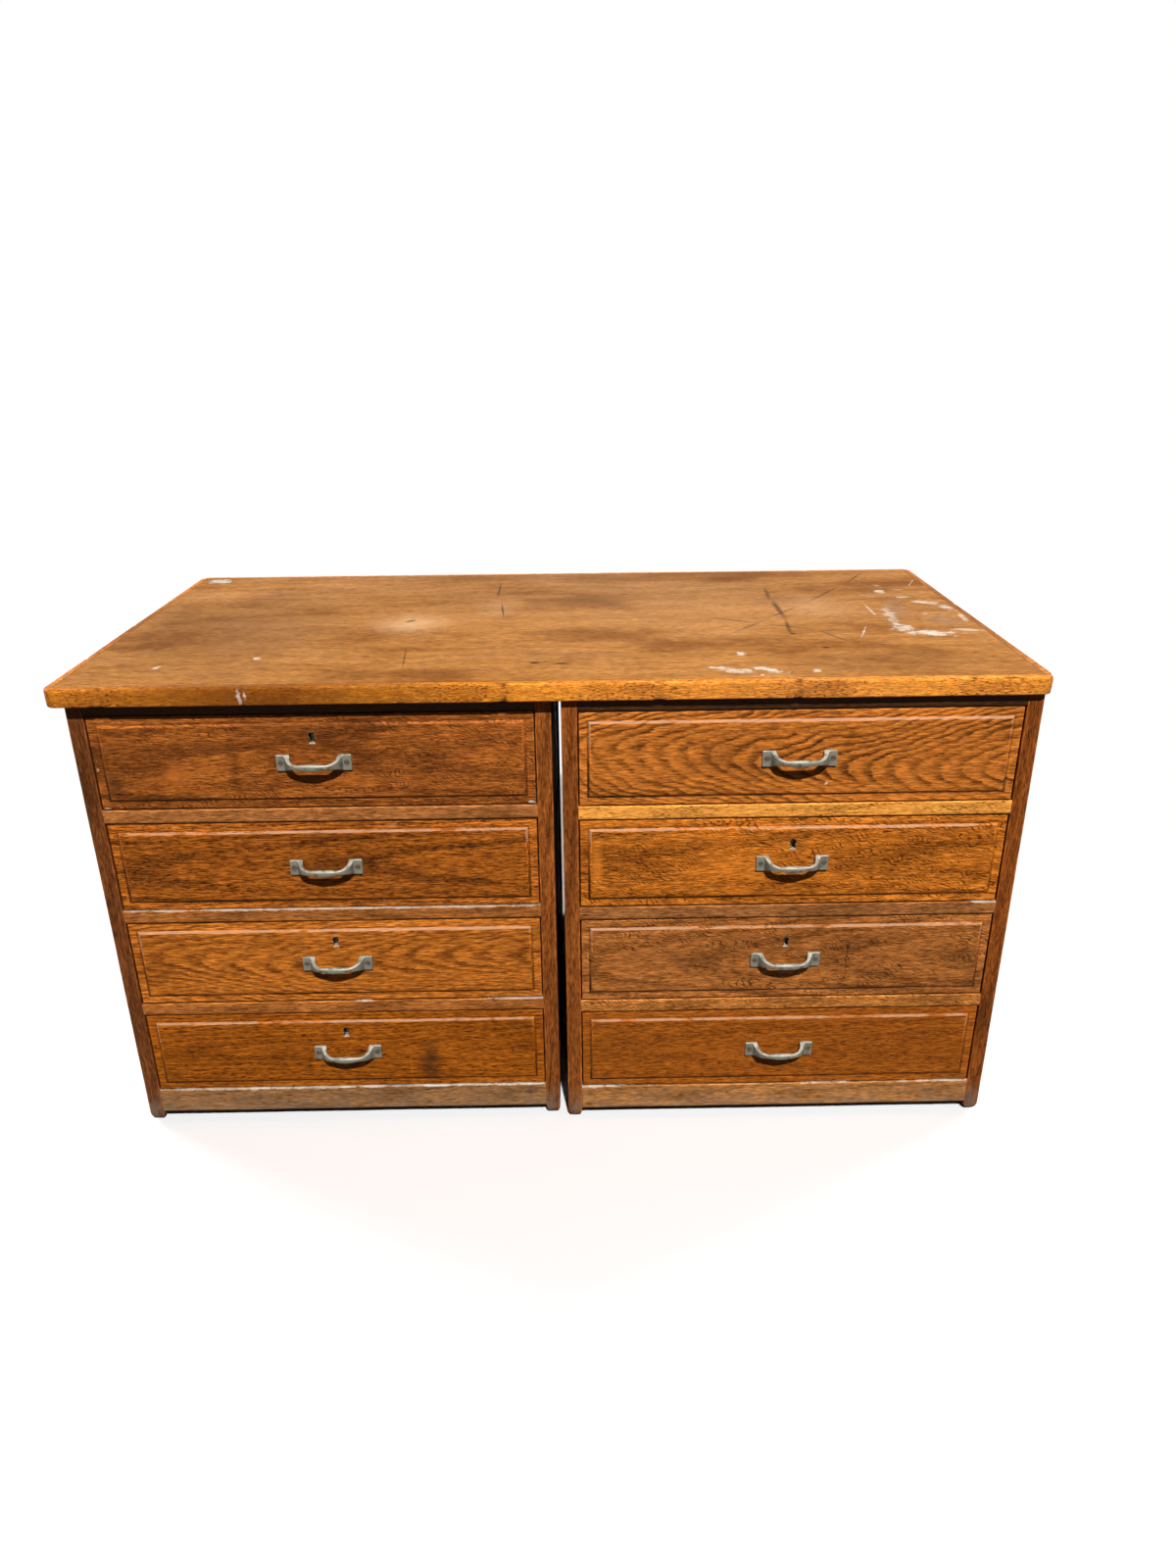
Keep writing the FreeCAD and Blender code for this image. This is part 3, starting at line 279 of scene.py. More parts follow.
def board(low, high, along, soft, ends, seed, dirt=0.0, arris=ARRIS_WEAR, stretch=1.0):
    """A board with softened edges between two corners of its box, with painted shade of the gaps over and
    under it on its upper and lower faces.

    A rounded rectangle is carried along the board. Each of its points is a corner's centre plus the
    corner's radius times the cosine and sine of an angle, and beside each corner one more point runs on
    along the flat. The radius sways along the board as a worn edge does. Over the last stretch at each
    end the rectangle draws in by a quarter circle, or at the low end by a longer quarter ellipse, and
    then closes to a point.
    """
    axes = [(along + step) % 3 for step in range(3)]
    low = np.array(low)[axes]
    high = np.array(high)[axes]
    middle = (low + high) / 2
    half = (high - low) / 2
    curve = np.linspace(0, np.pi / 2, END_STEPS)
    count = max(4, int(2 * half[0] / BOARD_STEP))
    run = np.linspace(low[0] + stretch * ends[0], high[0] - ends[1], count)[1:-1]
    place = np.concatenate([low[0] + stretch * ends[0] * (1 - np.cos(curve)), run,
                            high[0] - ends[1] * (1 - np.cos(curve[::-1]))])[:, None]
    inset = np.concatenate([ends[0] * (1 - np.sin(curve)), 0 * run,
                            ends[1] * (1 - np.sin(curve[::-1]))])[:, None]
    quarter = np.repeat(np.arange(4), CORNER_STEPS + 2)
    step = np.tile(np.concatenate([[0], np.arange(CORNER_STEPS), [CORNER_STEPS - 1]]), 4)
    lead = np.tile(np.concatenate([[-1], np.zeros(CORNER_STEPS), [1]]), 4)
    turn = (quarter + step / (CORNER_STEPS - 1)) * np.pi / 2
    side_a = np.where((quarter == 0) | (quarter == 3), 1, -1)
    side_b = np.where(quarter < 2, 1, -1)
    uneven = np.stack([sway(place[:, 0], seed + number, ARRIS_WAVE) for number in range(4)], axis=-1)
    radius = soft * (1 + ARRIS_SWAY * uneven[:, quarter])
    band = min(BOARD_BAND, 0.8 * half[1:].min())
    across = side_a * (half[1] - inset - radius) + radius * np.cos(turn) - lead * band * np.sin(turn)
    upward = side_b * (half[2] - inset - radius) + radius * np.sin(turn) + lead * band * np.cos(turn)
    rings = np.stack([np.broadcast_to(place, across.shape), middle[1] + across, middle[2] + upward], axis=-1)
    poles = np.tile(middle, (2, across.shape[1], 1))
    poles[0, :, 0] = low[0]
    poles[1, :, 0] = high[0]
    points = np.concatenate([poles[:1], rings, poles[1:]])
    near_end = np.minimum(place - low[0], high[0] - place)
    wear = arris * np.maximum(np.where(lead == 0, 1.0, 0.0), 1 - np.clip(near_end / band, 0, 1))
    # Where the painted gap shade lies below the board, its wear is lessened.
    wear = wear * np.where(side_b > 0, 1, 1 - dirt)
    wear = np.concatenate([wear[:1] * 0, wear, wear[:1] * 0])
    # Painted shade of the gaps over and under the board: on its lower arrises and on the bands beside the
    # arrises of its upper and lower faces.
    gap_shaded = np.where(lead == 0, side_b < 0, np.abs(np.sin(turn)) > 0.5)
    grime = np.broadcast_to(dirt * gap_shaded, wear.shape)
    placed = np.empty_like(points)
    placed[..., axes] = points
    return grid_surface(placed, wear, grime)


def around(columns, rows):
    """Points round a square from -1 to 1, anticlockwise from its lower left corner."""
    level = np.linspace(-1, 1, columns, endpoint=False)
    upright = np.linspace(-1, 1, rows, endpoint=False)
    across = np.concatenate([level, np.ones(rows), -level, -np.ones(rows)])
    upward = np.concatenate([-np.ones(columns), upright, np.ones(columns), -upright])
    return across, upward


# How many points lie along and up a front, and how far its ends stand inside its box, in metres.
FRONT_COLUMNS = 110
FRONT_ROWS = 28
SIDE_INSET = 0.00005
# The small chamfer round a front's back, and how far past the crest the even rows of the field start.
BACK_CHAMFER = 0.0006
FIELD_START = 0.006
# How deep a worn arris sways and is nicked, sideways and backwards, in metres.
WORN_SWAY = 0.00022
WORN_NICK = 0.0035
DIP_SWAY = 0.00025
DIP_NICK = 0.0012


def fielded_front(low, high, shape, look, seed):
    """A drawer front with a raised field.

    Rectangles drawn in by one distance all round are stacked from the back to the front: each row of the
    profile is an inset and a depth behind the field. The rows go from the middle of the back round the
    outer arris, over the margin, down into the quirk at the bevel's foot, up the bevel and over the field to
    its middle, where they close to a line. Each row also has a wear and a grime value. The grime on the
    front's edges is painted shade of the gap round it, and in the quirk it is dirt with painted shade,
    stronger towards the bottom and the left. The bevel's wear is stronger towards the top, a painted
    highlight.
    """
    half_width = (high[0] - low[0]) / 2
    half_height = (high[2] - low[2]) / 2
    thick = high[1] - low[1]
    margin_face = shape.field_height
    soft = shape.front_round
    foot = shape.field_margin
    crest = foot + shape.field_bevel
    bend = np.linspace(0, np.pi / 2, CORNER_STEPS)
    # The outer arris: worn where it meets the margin, and darkened where it turns into the gap, as painted
    # shade of the gap.
    arris = [(SIDE_INSET + soft * (1 - math.cos(turn)), margin_face + soft * (1 - math.sin(turn)),
              0.4 * math.sin(turn), 1.2 * math.cos(turn)) for turn in bend]
    field = [(inset, 0.0, 0.0, 0.0) for inset in np.linspace(crest + FIELD_START, half_height, 7)]
    profile = np.array([
        (half_height, thick, 0.0, 0.0),
        (SIDE_INSET + BACK_CHAMFER, thick, 0.4, 0.0),
        (SIDE_INSET, thick - BACK_CHAMFER, 0.4, 0.0),
        # The front's edges darkened near its face: painted shade of the gap round the front.
        (SIDE_INSET, margin_face + 0.006, 0.0, 0.3),
        (SIDE_INSET, margin_face + 0.0025, 0.0, 1.4),
        *arris,
        (soft + 0.0015, margin_face, look.margin, 0.0),
        (foot - 0.0022, margin_face, look.margin, 0.0),
        # The quirk at the bevel's foot, darkened by dirt and by painted shade; the bevel above it worn, with
        # a painted highlight on its upper side.
        (foot - 0.0010, margin_face, 0.0, 0.9),
        (foot, margin_face + 0.0002, 0.0, 1.2),
        (foot + 0.0009, margin_face - 0.0007, 0.9 * look.bevel, 0.9),
        (crest - 0.0009, 0.0007, look.bevel, 0.1),
        (crest - 0.0003, 0.00018, look.bevel, 0.0),
        (crest + 0.0004, 0.0, 0.9 * look.bevel, 0.0),
        (crest + 0.0018, 0.0, 0.0, 0.0),
        *field])
    inset, depth, wear, grime = (column[:, None] for column in profile.T)
    across, upward = around(FRONT_COLUMNS, FRONT_ROWS)
    girth = np.cumsum(np.hypot(np.diff(across, append=across[:1]) * half_width,
                               np.diff(upward, append=upward[:1]) * half_height))
    edge = np.where((inset < soft) | (inset > foot), wear, 0)
    rough = sway(girth, seed, 0.4, 7)
    nicks = np.clip(sway(girth, seed + 1, 0.11, 4) - 0.62, 0, 1)
    worn = edge * (WORN_SWAY * rough + WORN_NICK * nicks) * (depth < thick / 2)
    wide = np.where(inset + worn < half_height, half_width - inset - worn, half_width - half_height)
    tall = np.maximum(half_height - inset - worn, 0)
    dip = edge * (DIP_SWAY * (1 + rough) + DIP_NICK * nicks)
    # Painted shade: the quirk's grime stronger towards the bottom and the left, where the bevels lie in
    # shade.
    shaded_side = np.clip(0.62 - 0.45 * upward, 0, 1) * np.clip(0.85 - 0.15 * across, 0, 1)
    points = np.stack([
        (low[0] + high[0]) / 2 + across * wide,
        low[1] + depth + dip,
        (low[2] + high[2]) / 2 + upward * tall], axis=-1)
    settled = np.clip(shaded_side * (1 + 0.5 * sway(girth, seed + 2, 0.3)), 0, 1)
    # The front's edges keep their full painted gap shade; the quirk takes its shade by side.
    dirt = grime * np.where(inset < soft, 1, settled)
    # Painted highlight: the bevel's wear stronger towards the top, where the upward bevel catches the light,
    # with uneven rubbing and nicks.
    lit_side = np.clip(0.35 + 0.6 * upward + 0.3 * rough + 2 * nicks, 0, 1)
    rubbed = np.where(inset > foot, wear * lit_side, wear)
    return grid_surface(points, rubbed, dirt)


def prism(outline, front, back):
    """A flat outline, given as x and z, carried straight back along y and closed at both ends."""
    middle = outline.mean(axis=0)
    rows = []
    for place, flat in ((front, middle), (front, outline), (back, outline), (back, middle)):
        flat = np.broadcast_to(flat, outline.shape)
        rows.append(np.stack([flat[:, 0], np.full(len(flat), place), flat[:, 1]], axis=-1))
    return grid_surface(np.array(rows))


def block(low, high):
    """A plain box as an outline carried back."""
    outline = np.array([(low[0], low[2]), (high[0], low[2]), (high[0], high[2]), (low[0], high[2])])
    return prism(outline, low[1], high[1])


def keyhole(centre, shape, front, back):
    """A keyhole's outline: an arc of its round head, and a slot that widens to its foot."""
    neck = shape.key_neck / 2
    join = math.acos(neck / shape.key_head)
    turn = np.linspace(-join, np.pi + join, 33)
    head = shape.key_head * np.stack([np.cos(turn), np.sin(turn)], axis=-1)
    slot = np.array([(-shape.key_foot / 2, -shape.key_drop), (shape.key_foot / 2, -shape.key_drop)])
    return prism(np.concatenate([head, slot]) + np.array(centre), front, back)


def turned(profile, centre, count=40):
    """A profile of radius and depth carried round an axis along y."""
    turn = np.linspace(0, 2 * np.pi, count, endpoint=False)
    radius, depth = (np.array(profile).T)[:, :, None]
    return grid_surface(np.stack([
        centre[0] + radius * np.cos(turn),
        centre[1] + depth + 0 * turn,
        centre[2] + radius * np.sin(turn)], axis=-1))


# Angles of an arm's stations, from its root to the neck, and shares of the bar's stations to its middle.
ARM_TURNS = np.radians((74, 58, 42, 26, 10))
BAR_SHARES = np.array((0.33, 0.67, 1.0))
# Steps between the stations of half a handle, points round a section, and stations in a running mean.
HANDLE_STEPS = (0, 9, 9, 5, 5, 5, 5, 6, 6, 6)
HANDLE_POINTS = 32
HANDLE_BLEND = 7
# Powers of the sections' superellipses: 2 is an ellipse, and more is squarer.
SQUARE_FOOT = 12.0
SQUARE_ARM = 6.0
SQUARE_BAR = 2.4
# How far dirt reaches from a screw's head, how far tarnish and painted shade reach from the wood, and how far
# out a foot counts as plate, in metres.
SCREW_DIRT = 0.0035
WOOD_TARNISH_AND_SHADE = 0.0025
PLATE_REACH = 0.004


def handle_rows(long, tall, reach, shape):
    """Corner rows of half a handle: outer x and y, inner x and y, half the height, and squareness."""
    foot = [(shape.foot_corner, shape.handle_plate, shape.foot_corner, 0.0, tall / 2, SQUARE_FOOT),
            (shape.foot_flat, shape.handle_plate, shape.foot_length, 0.0, tall / 2, SQUARE_FOOT)]
    bar_out = reach - shape.bar_depth / 2
    neck_out = bar_out - shape.bar_bow
    neck_turn = ARM_TURNS[-1]
    along_share = (1 - np.sin(ARM_TURNS)) / (1 - np.sin(neck_turn))
    out_share = np.cos(ARM_TURNS) / np.cos(neck_turn)
    rise_share = 1 - (1 - BAR_SHARES) ** 2
    turn = np.concatenate([ARM_TURNS, 0 * BAR_SHARES])
    along = np.concatenate([shape.arm_start + along_share * (shape.neck_start - shape.arm_start),
                            shape.neck_start + BAR_SHARES * (long / 2 - shape.neck_start)])
    out = np.concatenate([shape.handle_plate / 2 + out_share * (neck_out - shape.handle_plate / 2),
                          neck_out + rise_share * (bar_out - neck_out)])
    height = np.concatenate([shape.arm_height + out_share * (shape.neck_height - shape.arm_height),
                             shape.neck_height + rise_share * (shape.bar_height - shape.neck_height)])
    depth = np.concatenate([shape.arm_depth + out_share * (shape.neck_depth - shape.arm_depth),
                            shape.neck_depth + rise_share * (shape.bar_depth - shape.neck_depth)])
    square = np.concatenate([SQUARE_ARM + out_share * (SQUARE_BAR - SQUARE_ARM), SQUARE_BAR + 0 * BAR_SHARES])
    aside = np.sin(turn) * depth / 2
    ahead = np.cos(turn) * depth / 2
    grip = np.stack([along - aside, out + ahead, along + aside, out - ahead, height / 2, square], axis=-1)
    return np.concatenate([foot, grip])


def cast_handle(long, tall, reach, shape):
    """A cast handle along x from zero, out along -y from zero and about z zero.

    At each station along the handle a section lies between an inner and an outer line in plan. The section
    is a superellipse, nearly square on the feet and round on the bar, as tall as the handle is there. In plan
    an arm follows a quarter ellipse out of its foot, and the bar bows like a parabola. A running mean over
    the stations rounds the corners between foot, arm and bar.
    """
    half_rows = handle_rows(long, tall, reach, shape)
    mirror = np.array((-1, 1, -1, 1, 1, 1))
    far_end = np.array((long, 0, long, 0, 0, 0))
    rows = np.concatenate([half_rows, half_rows[-2::-1] * mirror + far_end])
    stations = np.cumsum(HANDLE_STEPS + HANDLE_STEPS[:0:-1])
    steps = np.arange(stations[-1] + 1)
    straight = np.stack([np.interp(steps, stations, column) for column in rows.T], axis=-1)
    reach_over = HANDLE_BLEND // 2
    padded = np.pad(straight, ((reach_over, reach_over), (0, 0)), mode="reflect", reflect_type="odd")
    weights = np.hanning(HANDLE_BLEND + 2)[1:-1]
    spread = np.lib.stride_tricks.sliding_window_view(padded, HANDLE_BLEND, axis=0)
    smooth = spread @ (weights / weights.sum())
    bend = np.linspace(0, np.pi / 2, CORNER_STEPS)[:-1]
    ease = shape.foot_corner
    cap = np.repeat(smooth[:1], len(bend), axis=0)
    cap[:, 0] = cap[:, 2] = ease * (1 - np.cos(bend))
    cap[:, 4] -= ease * (1 - np.sin(bend))
    cap[:, 1] -= 0.4 * ease * (1 - np.sin(bend))
    stack = np.concatenate([cap, smooth, cap[::-1] * mirror + far_end])
    out_x, out_y, in_x, in_y, half, power = stack.T[:, :, None]
    turn = np.linspace(0, 2 * np.pi, HANDLE_POINTS, endpoint=False) + np.pi / HANDLE_POINTS
    deep = np.sign(np.cos(turn)) * np.abs(np.cos(turn)) ** (2 / power)
    high = np.sign(np.sin(turn)) * np.abs(np.sin(turn)) ** (2 / power)
    along = (out_x + in_x) / 2 + deep * (out_x - in_x) / 2
    outward = (out_y + in_y) / 2 + deep * (out_y - in_y) / 2
    rings = np.stack([along, -outward, high * half], axis=-1)
    poles = np.repeat(rings[[0, -1]].mean(axis=1, keepdims=True), HANDLE_POINTS, axis=1)
    points = np.concatenate([poles[:1], rings, poles[1:]])
    # Wear grows with how far a face looks upward: a painted highlight on the upper faces of feet, arms and
    # bar.
    upward = np.sign(high) * np.abs(high) ** (power - 1)
    facing = upward / np.hypot(upward, np.abs(deep) ** (power - 1))
    level = np.concatenate([facing[:1], facing, facing[-1:]])
    x, y, z = np.moveaxis(points, -1, 0)
    screw = np.minimum(np.abs(x - shape.screw_inset), np.abs(x - long + shape.screw_inset))
    ring = np.hypot(screw, z)
    plate = np.clip(1 + (y + shape.handle_plate) / PLATE_REACH, 0, 1)
    wear = np.clip(np.maximum(1.4 * level - 0.3, 0.1 * plate), 0, 1)
    grime = np.clip(1 - np.abs(ring - shape.screw_head) / SCREW_DIRT, 0, 1)
    # Darker where the metal meets the wood: tarnish with painted shade.
    grime = np.maximum(grime, np.clip(1 + y / WOOD_TARNISH_AND_SHADE, 0, 1) * 0.8)
    return grid_surface(points, wear, grime)


# Points round a scrap, its thickness and its gap to the board, in metres.
SCRAP_POINTS = 90
SCRAP_THICKNESS = 0.0002
SCRAP_GAP = 0.00005


def scrap(centre, reach, lift, seed):
    """A torn scrap of paper: rings of points out to a ragged outline, an upper and a lower sheet.

    The height above the board follows a lift that grows with the square of the distance from the middle.
    """
    turn = np.linspace(0, 2 * np.pi, SCRAP_POINTS, endpoint=False)
    ragged = 1 + 0.30 * sway(turn / (2 * np.pi), seed, 1.0, 7)
    square = 1 / np.maximum(np.abs(np.cos(turn)), np.abs(np.sin(turn))) ** 0.8
    share = np.array([0, 0.3, 0.6, 0.85, 1.0, 1.0, 0.85, 0.6, 0.3, 0])[:, None]
    upper = np.array([1, 1, 1, 1, 1, 0, 0, 0, 0, 0])[:, None]
    across = share * ragged * square * np.cos(turn) * reach[0]
    upward = share * ragged * square * np.sin(turn) * reach[1]
    curl = lift * share ** 2 * np.clip(0.3 + np.cos(turn - 0.7), 0, 1)
    points = np.stack([centre[0] + across, centre[1] + upward,
                       centre[2] + SCRAP_GAP + curl + upper * SCRAP_THICKNESS], axis=-1)
    return grid_surface(points)


def new_object(name, surfaces, materials=()):
    """A mesh object from closed surfaces: points merged, faces turned outwards, a material for each."""
    starts = np.cumsum([0] + [len(surface.points) for surface in surfaces])
    mesh = bpy.data.meshes.new(name)
    mesh.from_pydata(
        np.concatenate([surface.points for surface in surfaces]).tolist(), [],
        np.concatenate([surface.faces + start for surface, start in zip(surfaces, starts)]).tolist())
    kinds = np.repeat(np.arange(len(surfaces)), [len(surface.faces) for surface in surfaces])
    mesh.polygons.foreach_set("material_index", kinds)
    for key in ("wear", "grime"):
        values = np.concatenate([getattr(surface, key) for surface in surfaces]).astype(np.float32)
        mesh.attributes.new(key, "FLOAT", "POINT").data.foreach_set("value", values)
    form = bmesh.new()
    form.from_mesh(mesh)
    bmesh.ops.remove_doubles(form, verts=form.verts, dist=MERGE)
    bmesh.ops.recalc_face_normals(form, faces=form.faces)
    form.to_mesh(mesh)
    form.free()
    for material in materials:
        mesh.materials.append(material)
    made = bpy.data.objects.new(name, mesh)
    bpy.context.scene.collection.objects.link(made)
    return made


def carve(piece, cutters):
    """Cuts closed surfaces out of a piece."""
    tool = new_object(f"{piece.name}_cutter", cutters)
    tool.data.polygons.foreach_set("material_index", [0] * len(tool.data.polygons))
    cut = piece.modifiers.new("cut", "BOOLEAN")
    cut.operation = "DIFFERENCE"
    cut.solver = "EXACT"
    cut.object = tool
    state = bpy.context.evaluated_depsgraph_get()
    result = bpy.data.meshes.new_from_object(piece.evaluated_get(state))
    piece.modifiers.remove(cut)
    uncut = piece.data
    piece.data = result
    result.name = piece.name
    bpy.data.meshes.remove(uncut)
    bpy.data.objects.remove(tool)


# Faces that meet at less than this angle are shaded as one curve.
SMOOTH_BELOW = math.radians(38)


def dress(piece, body, slot, *nodes):
    """Gives a new piece smooth faces, and hands it to the frame."""
    piece.data.polygons.foreach_set("use_smooth", [True] * len(piece.data.polygons))
    piece.data.set_sharp_from_angle(angle=SMOOTH_BELOW)
    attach(piece, body)
    if nodes:
        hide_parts(*nodes)


def finish_node(node, material):
    """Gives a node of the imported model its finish."""
    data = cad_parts[node].data
    data.materials.clear()
    data.materials.append(material)


class Graph:
    """The nodes of a material or the world. Each method adds nodes and gives back the result's socket."""

    def __init__(self, owner, shader="Principled BSDF"):
        owner.use_nodes = True
        self.owner = owner
        self.tree = owner.node_tree
        self.shader = self.tree.nodes[shader]

    def feed(self, socket, value):
        """Links a socket to an input, or sets the input's own value."""
        if isinstance(value, bpy.types.NodeSocket):
            self.tree.links.new(value, socket)
        elif socket.type == "RGBA":
            socket.default_value = (*tuple(value)[:3], 1.0)
        else:
            socket.default_value = value

    def node(self, kind, inputs, **settings):
        made = self.tree.nodes.new(kind)
        for key, value in settings.items():
            setattr(made, key, value)
        for key, value in inputs.items():
            self.feed(made.inputs[key], value)
        return made

    def place(self):
        """Where a point is on the object at rest."""
        return self.node("ShaderNodeTexCoord", {}).outputs["Object"]

    def grain_place(self, axes, centre):
        """The place from a centre, with its axes in the order along, into and across the grain."""
        moved = self.node("ShaderNodeVectorMath", {0: self.place(), 1: centre}, operation="SUBTRACT")
        parts = self.parts(moved.outputs[0])
        order = {number: parts["xyz".index(axis)] for number, axis in enumerate(axes)}
        return self.node("ShaderNodeCombineXYZ", order).outputs[0]

    def parts(self, vector):
        """The three numbers of a vector."""
        return self.node("ShaderNodeSeparateXYZ", {0: vector}).outputs

    def math(self, operation, *values):
        return self.node("ShaderNodeMath", dict(enumerate(values)), operation=operation).outputs[0]

    def fold(self, operation, values):
        """Carries an operation of two values through a row of them."""
        return functools.reduce(lambda first, second: self.math(operation, first, second), values)

    def product(self, *values):
        return self.fold("MULTIPLY", values)

    def most(self, *values):
        return self.fold("MAXIMUM", values)

    def mix(self, share, first, second, blend="MIX"):
        """A share of a second colour laid over a first one."""
        return self.node("ShaderNodeMix", {0: share, 6: first, 7: second}, data_type="RGBA",
                         blend_type=blend).outputs[2]

    def span(self, value, low, high, to_low=0.0, to_high=1.0):
        """A smooth step of a value from one pair of limits to another."""
        return self.node("ShaderNodeMapRange", {"Value": value, 1: low, 2: high, 3: to_low, 4: to_high},
                         interpolation_type="SMOOTHSTEP").outputs[0]

    def stretched(self, vector, scales):
        """A vector with its own scale on each axis."""
        return self.node("ShaderNodeVectorMath", {0: vector, 1: scales}, operation="MULTIPLY").outputs[0]

    def noise(self, vector, scales, seed, detail=2.0, rough=0.55):
        """Seeded clouds between 0 and 1, with their own number to the metre on each axis."""
        return self.node(
            "ShaderNodeTexNoise",
            {"Vector": self.stretched(vector, scales), "W": seed, "Scale": 1.0, "Detail": detail,
             "Roughness": rough}, noise_dimensions="4D").outputs[0]

    def note(self, name):
        """A value that the piece's own mesh carries."""
        return self.node("ShaderNodeAttribute", {}, attribute_name=name).outputs["Fac"]

    def patch(self, mark, ragged):
        """1 inside a turned ellipse whose outline a noise makes uneven, falling to 0 outside it."""
        local = self.node(
            "ShaderNodeMapping",
            {"Vector": self.place(), "Location": mark.centre, "Rotation": mark.turn, "Scale": mark.half},
            vector_type="TEXTURE").outputs[0]
        far = self.node("ShaderNodeVectorMath", {0: local}, operation="LENGTH").outputs["Value"]
        uneven = self.math("MULTIPLY_ADD", ragged, mark.ragged, far)
        outer = 1.0 + mark.ragged / 2
        return self.span(uneven, outer, outer - mark.soft, 0.0, mark.strength)

    def close(self, base, rough, bump, strength, distance, **sockets):
        """Sends colour, roughness and height to the shader."""
        relief = self.node("ShaderNodeBump", {"Strength": strength, "Distance": distance, "Height": bump})
        sockets.update(Base_Color=base, Roughness=rough, Normal=relief.outputs[0])
        for key, value in sockets.items():
            self.feed(self.shader.inputs[key.replace("_", " ")], value)
        return self.owner


def new_material(name):
    """The graph of a new material."""
    return Graph(bpy.data.materials.new(name))


def scaled(tone, share):
    """A colour made lighter or darker, up to white."""
    return tuple(min(1.0, share * value) for value in tone)


class Mark(NamedTuple):
    """A stain, scrape or spot: an ellipse with a turn, an uneven outline and a soft edge."""

    kind: str
    centre: tuple
    half: tuple
    turn: tuple
    ragged: float
    soft: float
    strength: float


class Look(NamedTuple):
    """The figure of one board of oak. Lengths are in metres."""

    light: tuple
    dark: tuple
    rings: float = 0.007
    flame: float = 0.02
    pith: float = 0.06
    rise: float = 0.0
    tilt: float = 0.0
    waver: float = 0.03
    contrast: float = 0.7
    pores: float = 0.7
    dash: float = 60.0
    streak: float = 0.6
    fleck: float = 0.0
    mottle: float = 0.6
    rough: float = 0.46
    gloss: float = 0.06
    jag: float = 0.85
    fibre: float = 0.55
    # Wear on a front's bevel, which on its upper side is a painted highlight, and wear on its margin.
    bevel: float = 0.8
    margin: float = 0.2


# How far apart ray flecks lie, in metres, and how steeply they slant across the grain.
RAY_GAP = 0.0046
RAY_SLANT = 0.45
# How high dust settles on feet and plinths, in metres.
DUST_HEIGHT = 0.075
# Colour of painted sheen: a pale place that paints the reflection of light on the polish.
PAINTED_SHEEN = (0.86, 0.52, 0.27)
# How much of a fibre's contrast goes to red, green and blue, in its dark and light parts.
FIBRE_DARK = (1.0, 1.05, 1.1)
FIBRE_LIGHT = (1.0, 1.1, 1.0)


